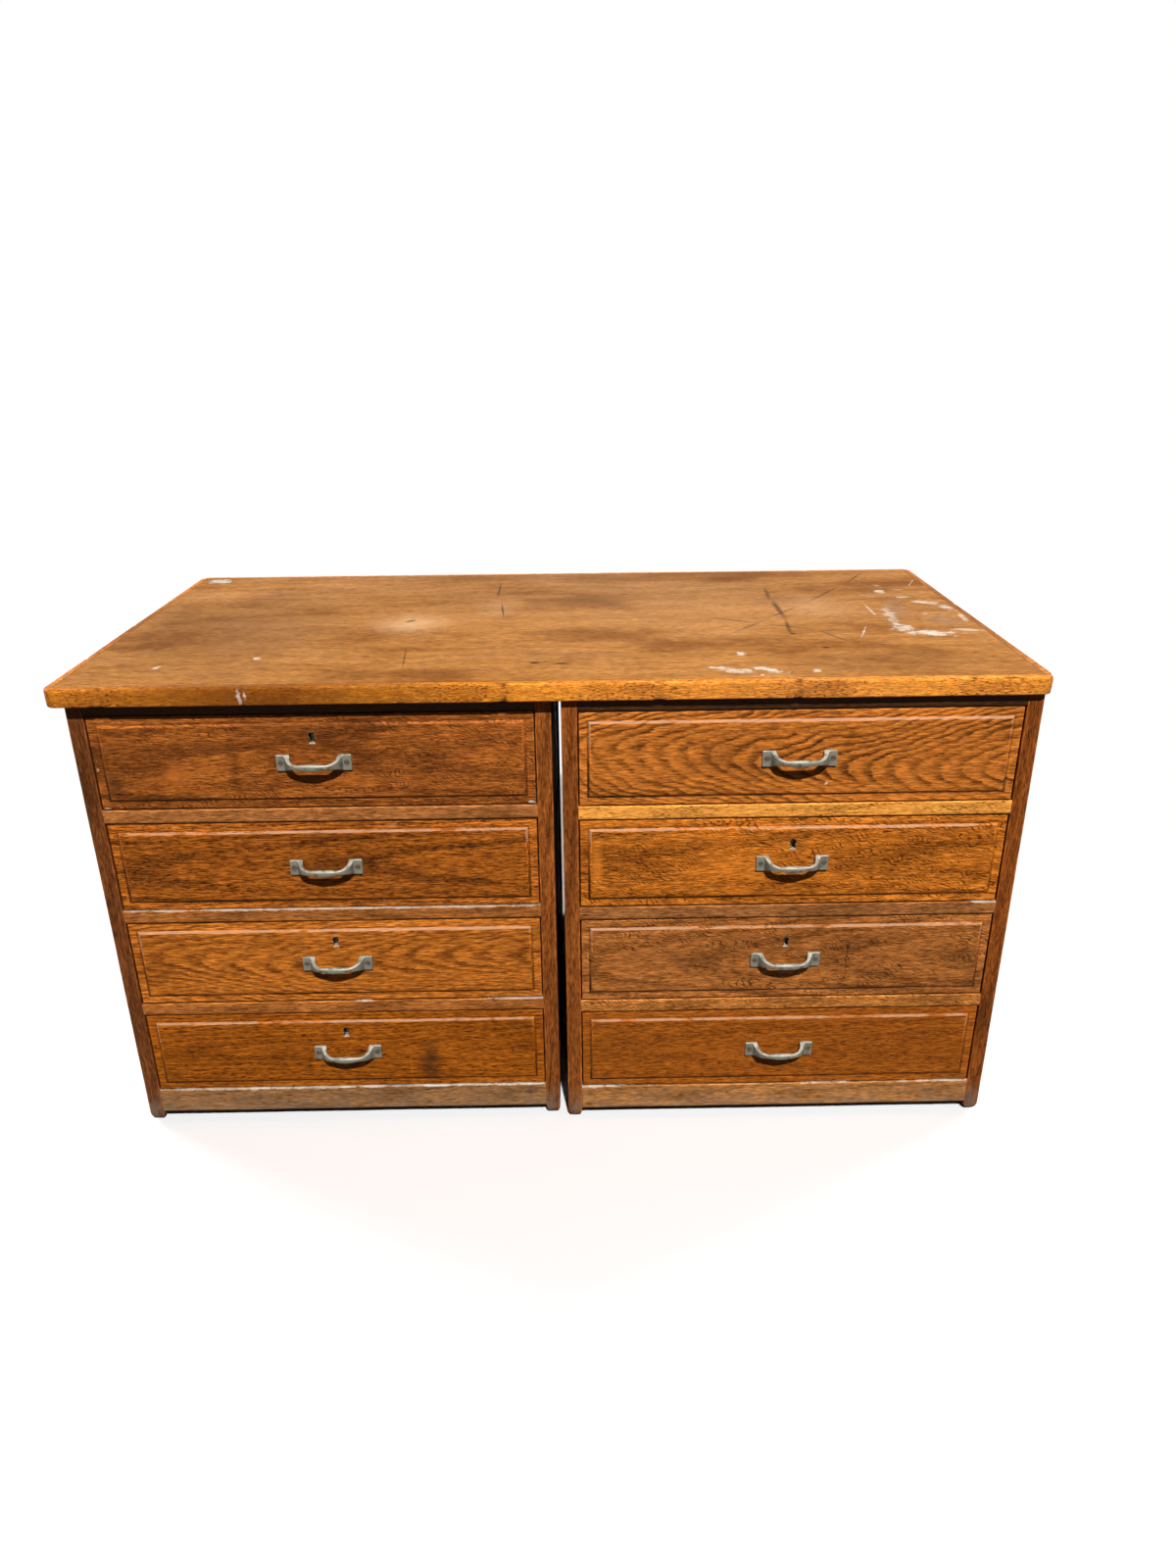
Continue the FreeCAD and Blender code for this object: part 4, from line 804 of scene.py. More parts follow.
def oak(name, tones, look, axes, centre, seed, marks=(), dusty=0.0, between=None):
    """Polished oak with its growth rings, pores, ray flecks, wear and dirt.

    The ring number at a point is its distance from a pith line behind the board, less a slope along the board
    that makes flames, over the gap between rings. Noise drawn out along the grain bends the rings and breaks
    them into pores. Ray flecks are thin slanting waves, broken up by another noise. Less than the distance
    between from the centre the boards lie crosswise, so the grain runs along x there.
    """
    graph = new_material(name)
    place = graph.grain_place(axes, centre)
    if between:
        crosswise = graph.grain_place("xyz", centre)
        beside = graph.math("ABSOLUTE", graph.parts(crosswise)[0])
        place = graph.mix(graph.math("LESS_THAN", beside, between), place, crosswise)
    along, deep, across = graph.parts(place)
    drift = graph.math("SUBTRACT", graph.noise(place, (2.6, 6.0, 6.0), seed, 1.0), 0.5)
    ripple = graph.math("SUBTRACT", graph.noise(place, (11.0, 30.0, 30.0), seed + 3.1, 2.0), 0.5)
    bent = graph.math("MULTIPLY_ADD", drift, look.waver, across)
    bent = graph.math("MULTIPLY_ADD", ripple, look.waver * 0.4, bent)
    off_pith = graph.math("SUBTRACT", graph.math("MULTIPLY_ADD", along, -look.tilt, bent), look.rise)
    behind = graph.math("ADD", deep, look.pith)
    radius = graph.math("SQRT", graph.math("MULTIPLY_ADD", off_pith, off_pith, graph.product(behind, behind)))
    ring = graph.math("MULTIPLY_ADD", along, -look.flame, radius)
    jag = graph.noise(place, (70.0, 380.0, 380.0), seed + 5.7, 2.0)
    number = graph.math("MULTIPLY_ADD", ring, 1.0 / look.rings, graph.product(jag, look.jag))
    phase = graph.math("FRACT", number)
    early = graph.product(graph.span(phase, 0.0, 0.12), graph.span(phase, 0.72, 0.14))
    uneven = graph.span(graph.noise(place, (4.0, 40.0, 40.0), seed + 8.3, 2.0), 0.30, 0.66, 0.15, 1.0)
    bands = graph.product(early, uneven, look.contrast)

    dashes = graph.noise(place, (look.dash, 850.0, 850.0), seed + 11.9, 1.0)
    porous = graph.math("MULTIPLY_ADD", early, 0.7, 0.3)
    pores = graph.product(graph.span(dashes, 0.53, 0.64), porous, look.pores)
    streaks = graph.noise(place, (9.0, 190.0, 190.0), seed + 14.2, 3.0, 0.7)
    threads = graph.noise(place, (40.0, 760.0, 760.0), seed + 15.6, 2.0)
    clouds = graph.noise(place, (4.5, 10.0, 10.0), seed + 17.5, 4.0, 0.62)

    base = graph.mix(bands, look.light, look.dark)
    base = graph.mix(graph.product(graph.span(streaks, 0.42, 0.62), look.streak * 0.5), base, look.dark)
    base = graph.mix(graph.product(graph.span(threads, 0.46, 0.64), look.streak), base, look.dark)
    base = graph.mix(graph.product(graph.span(clouds, 0.48, 0.70), look.mottle * 0.8), base, look.dark)
    base = graph.mix(graph.product(graph.span(clouds, 0.47, 0.28), look.mottle * 0.4), base,
                     scaled(look.light, 1.35))
    if look.fleck:
        sweep = graph.noise(place, (13.0, 40.0, 40.0), seed + 21.0, 2.0)
        slant = graph.math("MULTIPLY_ADD", sweep, 0.05, across)
        slant = graph.math("MULTIPLY_ADD", along, RAY_SLANT, slant)
        wave = graph.math("FRACT", graph.product(slant, 1.0 / RAY_GAP))
        line = graph.product(graph.span(wave, 0.0, 0.25), graph.span(wave, 0.5, 0.25))
        broken = graph.span(graph.noise(place, (45.0, 110.0, 110.0), seed + 22.6, 2.0), 0.40, 0.56)
        field = graph.span(graph.noise(place, (5.0, 9.0, 9.0), seed + 24.4, 2.0), 0.34, 0.52)
        base = graph.mix(graph.product(line, broken, field, look.fleck), base, scaled(look.dark, 0.45))
    base = graph.mix(pores, base, scaled(look.dark, 0.30))
    fibre = graph.noise(place, (70.0, 640.0, 640.0), seed + 35.2, 3.0, 0.75)
    shade = graph.mix(graph.span(fibre, 0.34, 0.66),
                      tuple(1.0 - look.fibre * share for share in FIBRE_DARK),
                      tuple(1.0 + look.fibre * share for share in FIBRE_LIGHT))
    base = graph.mix(1.0, base, shade, "MULTIPLY")

    scuff = graph.noise(place, (40.0, 60.0, 60.0), seed + 27.7, 3.0, 0.65)
    # The wear value lightens the wood and turns it bare; on the fronts' upper bevels it is a painted
    # highlight.
    wear = graph.note("wear")
    base = graph.mix(1.0, base, graph.span(wear, 0.0, 0.5, 1.0, 1.5), "MULTIPLY")
    scuffed = graph.math("MULTIPLY_ADD", graph.math("SUBTRACT", scuff, 0.5), 1.3, wear)
    worn = graph.span(scuffed, 0.60, 0.92)
    base = graph.mix(graph.product(worn, 0.7), base, tones.bare)
    # The grime value darkens the wood: real dirt in seams and chips, and painted shade in the gaps round the
    # fronts and rails and in the fronts' quirks.
    grime = graph.product(graph.note("grime"), graph.span(scuff, 0.24, 0.52, 0.45, 1.0))
    base = graph.mix(graph.product(grime, 0.9), base, tones.grime)
    rough = graph.math("MULTIPLY_ADD", graph.span(clouds, 0.3, 0.7), 0.16, look.rough - 0.06)
    rough = graph.math("MULTIPLY_ADD", graph.most(worn, grime, pores), 0.22, rough)

    # The colour each kind of mark lays on the wood; the sheen kind is a painted reflection.
    tints = {"dark": tones.grime, "stain": scaled(look.dark, 0.42), "paint": tones.paint,
             "film": tones.dust, "painted_sheen": PAINTED_SHEEN, "pale": scaled(look.light, 1.5)}
    if marks:
        tear = graph.noise(graph.place(), (60.0, 85.0, 85.0), seed + 30.3, 6.0, 0.75)
        brushed = graph.noise(graph.place(), (35.0, 150.0, 150.0), seed + 33.1, 5.0, 0.7)
        chalk = graph.span(brushed, 0.42, 0.56, 0.5, 1.0)
    for mark in marks:
        shown = graph.patch(mark, tear)
        if mark.kind == "paint":
            shown = graph.product(shown, chalk)
            rough = graph.math("MULTIPLY_ADD", shown, 0.3, rough)
        base = graph.mix(shown, base, tints[mark.kind])
    if dusty:
        height = graph.parts(graph.place())[2]
        low = graph.product(graph.span(height, DUST_HEIGHT, 0.0), graph.span(scuff, 0.30, 0.62), dusty)
        base = graph.mix(low, base, tones.dust)
        rough = graph.math("MULTIPLY_ADD", low, 0.25, rough)

    relief = graph.math("MULTIPLY_ADD", pores, -0.9, graph.product(streaks, 0.35))
    relief = graph.math("MULTIPLY_ADD", bands, -0.25, relief)
    relief = graph.math("MULTIPLY_ADD", clouds, 0.5, relief)
    return graph.close(base, rough, relief, 0.35, 0.0006, Specular_IOR_Level=look.gloss)


def cast_metal(name, tones, seed):
    """Dull cast metal: a dark skin in patches, rubbed bright by wear, and lighter on upward faces as a
    painted highlight.
    """
    graph = new_material(name)
    place = graph.place()
    blotch = graph.noise(place, (90.0, 90.0, 90.0), seed, 4.0, 0.65)
    grain = graph.noise(place, (900.0, 900.0, 900.0), seed + 2.0, 2.0)
    # The wear value rubs the metal bright; on the handles it follows upward faces, a painted highlight.
    wear = graph.product(graph.note("wear"), graph.span(blotch, 0.30, 0.60))
    base = graph.mix(graph.span(blotch, 0.46, 0.68), tones.metal, tones.tarnish)
    base = graph.mix(graph.product(wear, 0.85), base, tones.bright)
    # The grime value darkens the metal: dirt round the screws, and tarnish with painted shade where the
    # handle meets the wood.
    grime = graph.product(graph.note("grime"), graph.span(blotch, 0.25, 0.55, 0.35, 0.9))
    base = graph.mix(grime, base, tones.tarnish)
    base = graph.mix(graph.product(graph.span(grain, 0.5, 0.7), 0.35), base, tones.tarnish)
    rough = graph.math("MULTIPLY_ADD", blotch, 0.35, 0.34)
    relief = graph.math("MULTIPLY_ADD", blotch, 1.5, graph.product(grain, 0.5))
    return graph.close(base, rough, relief, 0.4, 0.0004, Metallic=0.25, Specular_IOR_Level=0.3)


def aged_metal(name, tones, main, stain, seed, metallic, hole=None):
    """A small fitting's metal with stains of rust or tarnish, painted near black as shade in a hole and at
    its rim, with a painted highlight at the hole's foot.

    The hole is where it starts and ends from front to back, and how high its foot reaches.
    """
    graph = new_material(name)
    place = graph.place()
    blotch = graph.noise(place, (260.0, 260.0, 260.0), seed, 4.0, 0.65)
    fine = graph.noise(place, (1600.0, 1600.0, 1600.0), seed + 4.0, 2.0)
    base = graph.mix(graph.span(blotch, 0.40, 0.62), main, stain)
    base = graph.mix(graph.product(graph.span(fine, 0.45, 0.7), 0.5), base, tones.grime)
    if hole:
        start, end, foot = hole
        deep, height = graph.parts(place)[1:3]
        # Painted shade: the rim seen in the keyhole and the hole behind it are painted near black.
        rim = graph.product(graph.math("LESS_THAN", deep, start), graph.span(blotch, 0.35, 0.60, 1.0, 0.55))
        base = graph.mix(rim, base, tones.painted_keyhole_shade)
        before_end = graph.math("LESS_THAN", deep, end)
        inside = graph.product(graph.math("GREATER_THAN", deep, start), before_end)
        base = graph.mix(inside, base, tones.painted_keyhole_shade)
        # Painted highlight: the keyhole's foot is made bright where light reaches it.
        rubbed = graph.product(graph.math("LESS_THAN", height, foot), before_end, 0.9)
        base = graph.mix(rubbed, base, tones.bright)
    rough = graph.math("MULTIPLY_ADD", blotch, 0.45, 0.28)
    return graph.close(base, rough, graph.math("ADD", fine, blotch), 0.35, 0.0003, Metallic=metallic)


def torn_paper(name, tones):
    """Plain paper with fibres and yellowed blotches."""
    graph = new_material(name)
    place = graph.place()
    blotch = graph.noise(place, (70.0, 70.0, 70.0), 3.0, 4.0, 0.6)
    fibre = graph.noise(place, (900.0, 260.0, 900.0), 5.0, 3.0)
    base = graph.mix(graph.span(blotch, 0.46, 0.58), tones.paper, tones.paper_stain)
    base = graph.mix(graph.product(graph.span(fibre, 0.5, 0.7), 0.3), base, tones.paper_fibre)
    return graph.close(base, graph.math("MULTIPLY_ADD", fibre, 0.2, 0.7), fibre, 0.4, 0.0002)


# How uneven each kind of mark's outline is, and how soft its edge, as shares of its half sizes.
MARK_EDGES = {"stain": (0.9, 1.1), "painted_sheen": (0.9, 1.2), "pale": (0.6, 0.9), "dark": (0.7, 0.8),
              "paint": (4.5, 0.6), "film": (2.0, 1.0)}


def across_top(kind, rows):
    """Marks on the top. A row is x and y, half the length and width, the turn in degrees and the strength."""
    height = CAD_BOX[1][2]
    return tuple(
        Mark(kind, (x, y, height), (long, wide, 1.0), (0.0, 0.0, math.radians(turn)),
             *MARK_EDGES[kind], strength)
        for x, y, long, wide, turn, strength in rows)


def on_front(kind, rows):
    """Marks on a front, which reach through the board. A row is as for the top, with z in place of y."""
    return tuple(
        Mark(kind, (x, 0.0, z), (long, 1.0, wide), (0.0, -math.radians(turn), 0.0),
             *MARK_EDGES[kind], strength)
        for x, z, long, wide, turn, strength in rows)


# Marks on the board of the top, on its lipping and on the drawer fronts.
TOP_MARKS = (
    *across_top("stain", (
        (0.395, 0.120, 0.085, 0.040, -5, 0.45), (0.070, 0.115, 0.100, 0.045, -10, 0.50),
        (-0.035, 0.110, 0.090, 0.020, -70, 0.25), (-0.465, -0.295, 0.060, 0.040, -5, 0.30),
        (0.270, -0.140, 0.100, 0.025, -15, 0.35), (0.120, 0.300, 0.180, 0.030, 0, 0.35),
        (-0.510, 0.185, 0.110, 0.050, 25, 0.30), (0.010, -0.210, 0.240, 0.030, -5, 0.30),
        (-0.640, 0.050, 0.040, 0.200, 0, 0.30), (0.560, -0.230, 0.090, 0.030, 5, 0.35),
        (0.330, 0.290, 0.150, 0.025, 0, 0.30), (-0.520, -0.040, 0.300, 0.360, 0, 0.50),
        (0.000, 0.330, 0.680, 0.085, 0, 0.45), (0.460, -0.270, 0.220, 0.075, 0, 0.30),
        (0.050, 0.200, 0.800, 0.170, 0, 0.30))),
    # Painted sheen: pale places that paint the reflection of light on the top's polish.
    *across_top("painted_sheen", (
        (-0.235, -0.020, 0.085, 0.090, 0, 0.60), (0.450, 0.060, 0.090, 0.120, 0, 0.25),
        (-0.100, 0.080, 0.060, 0.120, 0, 0.20), (0.160, 0.080, 0.500, 0.360, 0, 0.10))),
    *across_top("dark", (
        (0.385, 0.165, 0.070, 0.0060, -95, 0.60), (0.385, 0.050, 0.090, 0.0075, -90, 0.75),
        (0.380, -0.065, 0.060, 0.0050, -95, 0.65), (0.575, 0.290, 0.075, 0.0030, -120, 0.70),
        (0.485, 0.155, 0.095, 0.0035, -125, 0.70), (0.390, 0.030, 0.070, 0.0035, -130, 0.65),
        (0.315, -0.065, 0.060, 0.0035, -130, 0.65), (0.295, -0.020, 0.060, 0.0045, -30, 0.65),
        (0.380, -0.065, 0.040, 0.0045, -25, 0.70), (0.440, -0.125, 0.050, 0.0035, -65, 0.65),
        (0.415, -0.190, 0.009, 0.0070, -5, 0.90), (0.380, -0.110, 0.008, 0.0070, -5, 0.90),
        (-0.105, 0.220, 0.085, 0.0025, -90, 0.75), (-0.090, 0.065, 0.070, 0.0025, -85, 0.80),
        (-0.220, -0.215, 0.075, 0.0020, -85, 0.70), (-0.025, -0.250, 0.012, 0.0080, 30, 0.90),
        (0.015, -0.255, 0.018, 0.0060, 5, 0.90), (-0.240, 0.000, 0.015, 0.0065, 40, 0.90))),
    *across_top("paint", (
        (0.565, 0.000, 0.065, 0.0110, -95, 0.60), (0.560, -0.085, 0.025, 0.0190, -95, 1.00),
        (0.595, -0.115, 0.040, 0.0180, -15, 1.00), (0.660, -0.100, 0.030, 0.0070, -10, 0.75),
        (0.655, 0.085, 0.030, 0.0150, -5, 0.95), (0.675, 0.050, 0.025, 0.0130, -80, 0.75),
        (0.680, -0.015, 0.035, 0.0050, -95, 0.65), (0.590, 0.170, 0.014, 0.0130, 30, 0.90),
        (0.600, 0.220, 0.010, 0.0090, 15, 0.45), (0.620, 0.125, 0.015, 0.0060, 10, 0.75),
        (0.560, 0.140, 0.012, 0.0050, -25, 0.40), (0.540, 0.040, 0.045, 0.0030, -90, 0.75),
        (0.670, 0.240, 0.025, 0.0020, 65, 0.75), (0.495, -0.100, 0.045, 0.0020, -110, 0.80),
        (0.625, 0.005, 0.007, 0.0080, -10, 0.45), (0.625, 0.185, 0.009, 0.0080, 5, 0.40),
        (0.260, -0.300, 0.035, 0.0110, -25, 0.85), (0.310, -0.300, 0.025, 0.0090, -35, 0.85),
        (0.280, -0.215, 0.009, 0.0110, -5, 0.80), (0.375, -0.310, 0.008, 0.0090, -25, 0.80),
        (0.295, -0.325, 0.006, 0.0060, -35, 0.80), (-0.440, -0.210, 0.006, 0.0070, -5, 0.90),
        (-0.575, -0.250, 0.010, 0.0050, 60, 0.75))),
    *across_top("film", (
        (0.585, 0.045, 0.030, 0.120, -10, 0.30), (0.640, -0.040, 0.045, 0.060, 0, 0.30))),
)

EDGE_MARKS = (
    # The stains along the front edge darken its left half; those at the two ends darken the ends as painted
    # shade.
    *across_top("stain", ((-0.45, -0.350, 0.46, 0.050, 0, 0.85), (-0.30, -0.350, 0.30, 0.040, 0, 0.45),
                          (-0.700, 0.0, 0.040, 0.36, 0, 0.85), (0.702, 0.02, 0.045, 0.60, 0, 0.90))),
    # A painted sheen lightens the right half of the front edge, as the reflection of light on its polish.
    *across_top("painted_sheen", ((0.40, -0.36, 0.60, 0.12, 0, 0.07),)),
    *on_front("paint", ((-0.430, 0.748, 0.004, 0.013, 8, 0.8), (-0.422, 0.750, 0.003, 0.009, 0, 0.8))),
    *on_front("dark", ((0.640, 0.7605, 0.030, 0.0022, 0, 0.9), (0.585, 0.761, 0.012, 0.0016, 0, 0.9))),
)

# The figure of each drawer front, by side and level from the top.
FRONT_LOOKS = {
    ("left", 1): Look((0.44, 0.124, 0.020), (0.080, 0.020, 0.004), 0.0040, 0.01, pith=0.3, contrast=0.6,
                      dash=110.0, fleck=0.8, mottle=0.9, jag=0.4, bevel=0.5, margin=0.1),
    ("left", 2): Look((0.45, 0.121, 0.013), (0.075, 0.019, 0.003), 0.0034, 0.01, pith=0.3, waver=0.04,
                      dash=110.0, pores=1.0, mottle=0.6, fibre=0.7, jag=0.4, bevel=0.95, margin=0.5),
    ("left", 3): Look((0.67, 0.201, 0.026), (0.16, 0.038, 0.004), 0.0056, 0.10, rise=0.005, waver=0.07,
                      contrast=0.8, mottle=0.45, jag=0.8, bevel=1.1, margin=0.25),
    ("left", 4): Look((0.45, 0.118, 0.008), (0.12, 0.028, 0.002), 0.0055, 0.02, contrast=0.45, dash=110.0,
                      pores=1.0, mottle=0.6, jag=0.5, bevel=0.95),
    ("right", 1): Look((0.60, 0.179, 0.026), (0.10, 0.027, 0.005), 0.0080, 0.24, 0.05, rise=-0.004,
                       tilt=-0.04, waver=0.09, contrast=1.0, streak=0.3, mottle=0.4, jag=0.55,
                       fibre=0.5, bevel=1.1),
    ("right", 2): Look((0.70, 0.203, 0.022), (0.16, 0.039, 0.003), 0.0040, 0.01, pith=0.3, contrast=0.6,
                       dash=110.0, pores=1.0, fleck=1.0, mottle=0.5, jag=0.4, bevel=0.95),
    ("right", 3): Look((0.53, 0.175, 0.040), (0.13, 0.040, 0.008), 0.0040, 0.02, pith=0.3, contrast=0.6,
                       dash=110.0, fleck=1.0, mottle=0.8, jag=0.4, bevel=0.95),
    ("right", 4): Look((0.40, 0.105, 0.010), (0.16, 0.040, 0.004), 0.0040, 0.01, pith=0.3, contrast=0.4,
                       dash=110.0, mottle=0.35, jag=0.4, bevel=0.95),
}

FRONT_MARKS = {
    ("left", 1): (
        *on_front("stain", ((-0.457, 0.640, 0.014, 0.075, 0, 0.7), (-0.400, 0.640, 0.014, 0.050, 0, 0.35))),
        *on_front("dark", ((-0.632, 0.610, 0.020, 0.024, 0, 0.7),)),
        *on_front("pale", ((-0.545, 0.622, 0.030, 0.024, 0, 0.6), (-0.300, 0.612, 0.080, 0.012, 0, 0.4))),
        *on_front("paint", ((-0.652, 0.5712, 0.008, 0.0022, 0, 0.7), (-0.032, 0.5715, 0.008, 0.0026, 0, 0.8),
                            (-0.654, 0.645, 0.002, 0.003, 0, 0.8), (-0.655, 0.632, 0.002, 0.003, 0, 0.8))),
    ),
    ("left", 4): (
        *on_front("dark", ((-0.211, 0.110, 0.032, 0.070, 0, 0.75), (-0.560, 0.088, 0.030, 0.0018, 35, 0.5))),
        *on_front("pale", ((-0.243, 0.105, 0.0022, 0.050, 0, 0.4),)),
    ),
    ("right", 1): on_front("paint", ((0.395, 0.600, 0.005, 0.0022, 50, 0.6),)),
    ("right", 2): on_front("pale", ((0.062, 0.470, 0.014, 0.065, 0, 0.5),)),
    ("right", 3): on_front("dark", ((0.4505, 0.305, 0.0016, 0.055, 0, 0.7),)),
}

# The figure of the rail under the top, level 0, and of the rail under each drawer down to the third. The rail
# under the top is painted near black, as painted shade under the top's overhang.
RAIL_LOOKS = {
    ("left", 0): Look((0.07, 0.025, 0.008), (0.03, 0.012, 0.004)),
    ("left", 1): Look((0.59, 0.212, 0.058), (0.19, 0.060, 0.014), 0.004, mottle=0.5),
    ("left", 2): Look((0.48, 0.157, 0.035), (0.16, 0.050, 0.010), 0.004, mottle=0.5),
    ("left", 3): Look((0.50, 0.163, 0.035), (0.17, 0.050, 0.010), 0.004, mottle=0.5),
    ("right", 0): Look((0.07, 0.025, 0.008), (0.03, 0.012, 0.004)),
    ("right", 1): Look((1.00, 0.400, 0.070), (0.50, 0.180, 0.028), 0.004, dash=160.0, pores=1.3, mottle=0.35,
                       fibre=0.35),
    ("right", 2): Look((0.42, 0.152, 0.044), (0.15, 0.050, 0.012), 0.004, mottle=0.6),
    ("right", 3): Look((0.70, 0.248, 0.052), (0.20, 0.062, 0.012), 0.004, fleck=0.9, mottle=0.5),
}

PLINTH_LOOKS = {
    "left": Look((0.43, 0.190, 0.066), (0.16, 0.068, 0.024), 0.004, rough=0.5, mottle=0.8),
    "right": Look((0.58, 0.232, 0.064), (0.22, 0.085, 0.024), 0.004, rough=0.5, mottle=0.7),
}

# Pale lines on the upper arris of the rail over each drawer, rubbed by the drawers and partly a painted
# highlight, as x, half the length and the strength.
# The plinth stands as the rail over a fifth drawer. Half a line's width is in metres.
WORN_AND_LIT_LINE = 0.0028
WORN_AND_LIT_LINES = {
    ("left", 3): ((-0.35, 0.55, 0.6),),
    ("left", 4): ((-0.31, 0.02, 0.6), (-0.06, 0.07, 0.5)),
    ("left", 5): ((-0.40, 0.45, 0.8), (-0.10, 0.14, 0.5)),
    ("right", 3): ((0.65, 0.03, 0.6),),
    ("right", 5): ((0.06, 0.07, 0.8), (0.44, 0.04, 0.6), (0.63, 0.08, 0.6)),
}

POST_LOOK = Look((0.345, 0.094, 0.017), (0.10, 0.027, 0.005), 0.004, mottle=0.8)
# The outer front post of each pedestal is darker than its other posts.
OUTER_POST_LOOKS = {
    "left": Look((0.21, 0.062, 0.016), (0.08, 0.023, 0.006), 0.004, mottle=0.9),
    "right": Look((0.30, 0.077, 0.012), (0.09, 0.023, 0.004), 0.004, mottle=0.8),
}
PANEL_LOOK = Look((0.40, 0.140, 0.034), (0.18, 0.058, 0.011), 0.011, 0.05, 0.03, contrast=0.85, streak=0.75,
                  mottle=0.6, fibre=0.4)


INSIDE_FIGURE = {"streak": 0.8, "mottle": 0.5, "rough": 0.62, "fibre": 0.3}


def inside_look(tones, *figure):
    """Unpolished timber inside the cabinet, with its ring gap, flame and pith."""
    return Look(tuple(tones.inside), tuple(tones.inside_early), *figure, **INSIDE_FIGURE)


def drawer(side, level, part):
    """The name of a node of one drawer."""
    return f"{side}_drawer_{level}_{part}"


def is_locked(side, level):
    """Whether a drawer has a lock."""
    return drawer(side, level, "lock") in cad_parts


def opening(side, level, gap):
    """Lowest and highest corner of a drawer's opening in the frame."""
    low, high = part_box(drawer(side, level, "front"))
    grow = Vector((gap, 0.0, gap))
    return low - grow, high + grow


def worn_and_lit_lines(side, level, height):
    """Pale marks along the upper arris of a rail or plinth."""
    return on_front("paint", [(x, height, long, WORN_AND_LIT_LINE, 0, strength)
                              for x, long, strength in WORN_AND_LIT_LINES.get((side, level), ())])


def middle(node):
    """The centre of a node's box."""
    low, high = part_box(node)
    return tuple((low + high) / 2)


def half_width(node):
    """Half the width of a node's box."""
    low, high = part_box(node)
    return (high.x - low.x) / 2


# The dirty groove round the board of the top: its half width, the fall of its lip and its depth, in metres.
SEAM_WIDTH = 0.0002
SEAM_LIP = 0.00005
SEAM_DEPTH = 0.0004
# Points round a corner of the top and round its arris, and the distance between points along its edges.
TOP_CORNER_POINTS = 9
TOP_ARRIS_POINTS = 5
TOP_SPACING = 0.005
# How wide the band is over which the wear of the top's arris fades, in metres.
TOP_BAND = 0.003
# How deep the top's arris is worn and chipped, in metres.
TOP_WORN = 0.0003
TOP_CHIP = 0.006
LIPPING_LOOK = Look((0.92, 0.317, 0.032), (0.40, 0.103, 0.010), 0.005, dash=160.0, pores=1.6, streak=0.35,
                    mottle=0.3, rough=0.5, fibre=0.4)
# The scrap's place, half sizes and curl, in metres.
SCRAP_PLACE = (-0.656, 0.322)
SCRAP_REACH = (0.022, 0.015)
SCRAP_LIFT = 0.0008


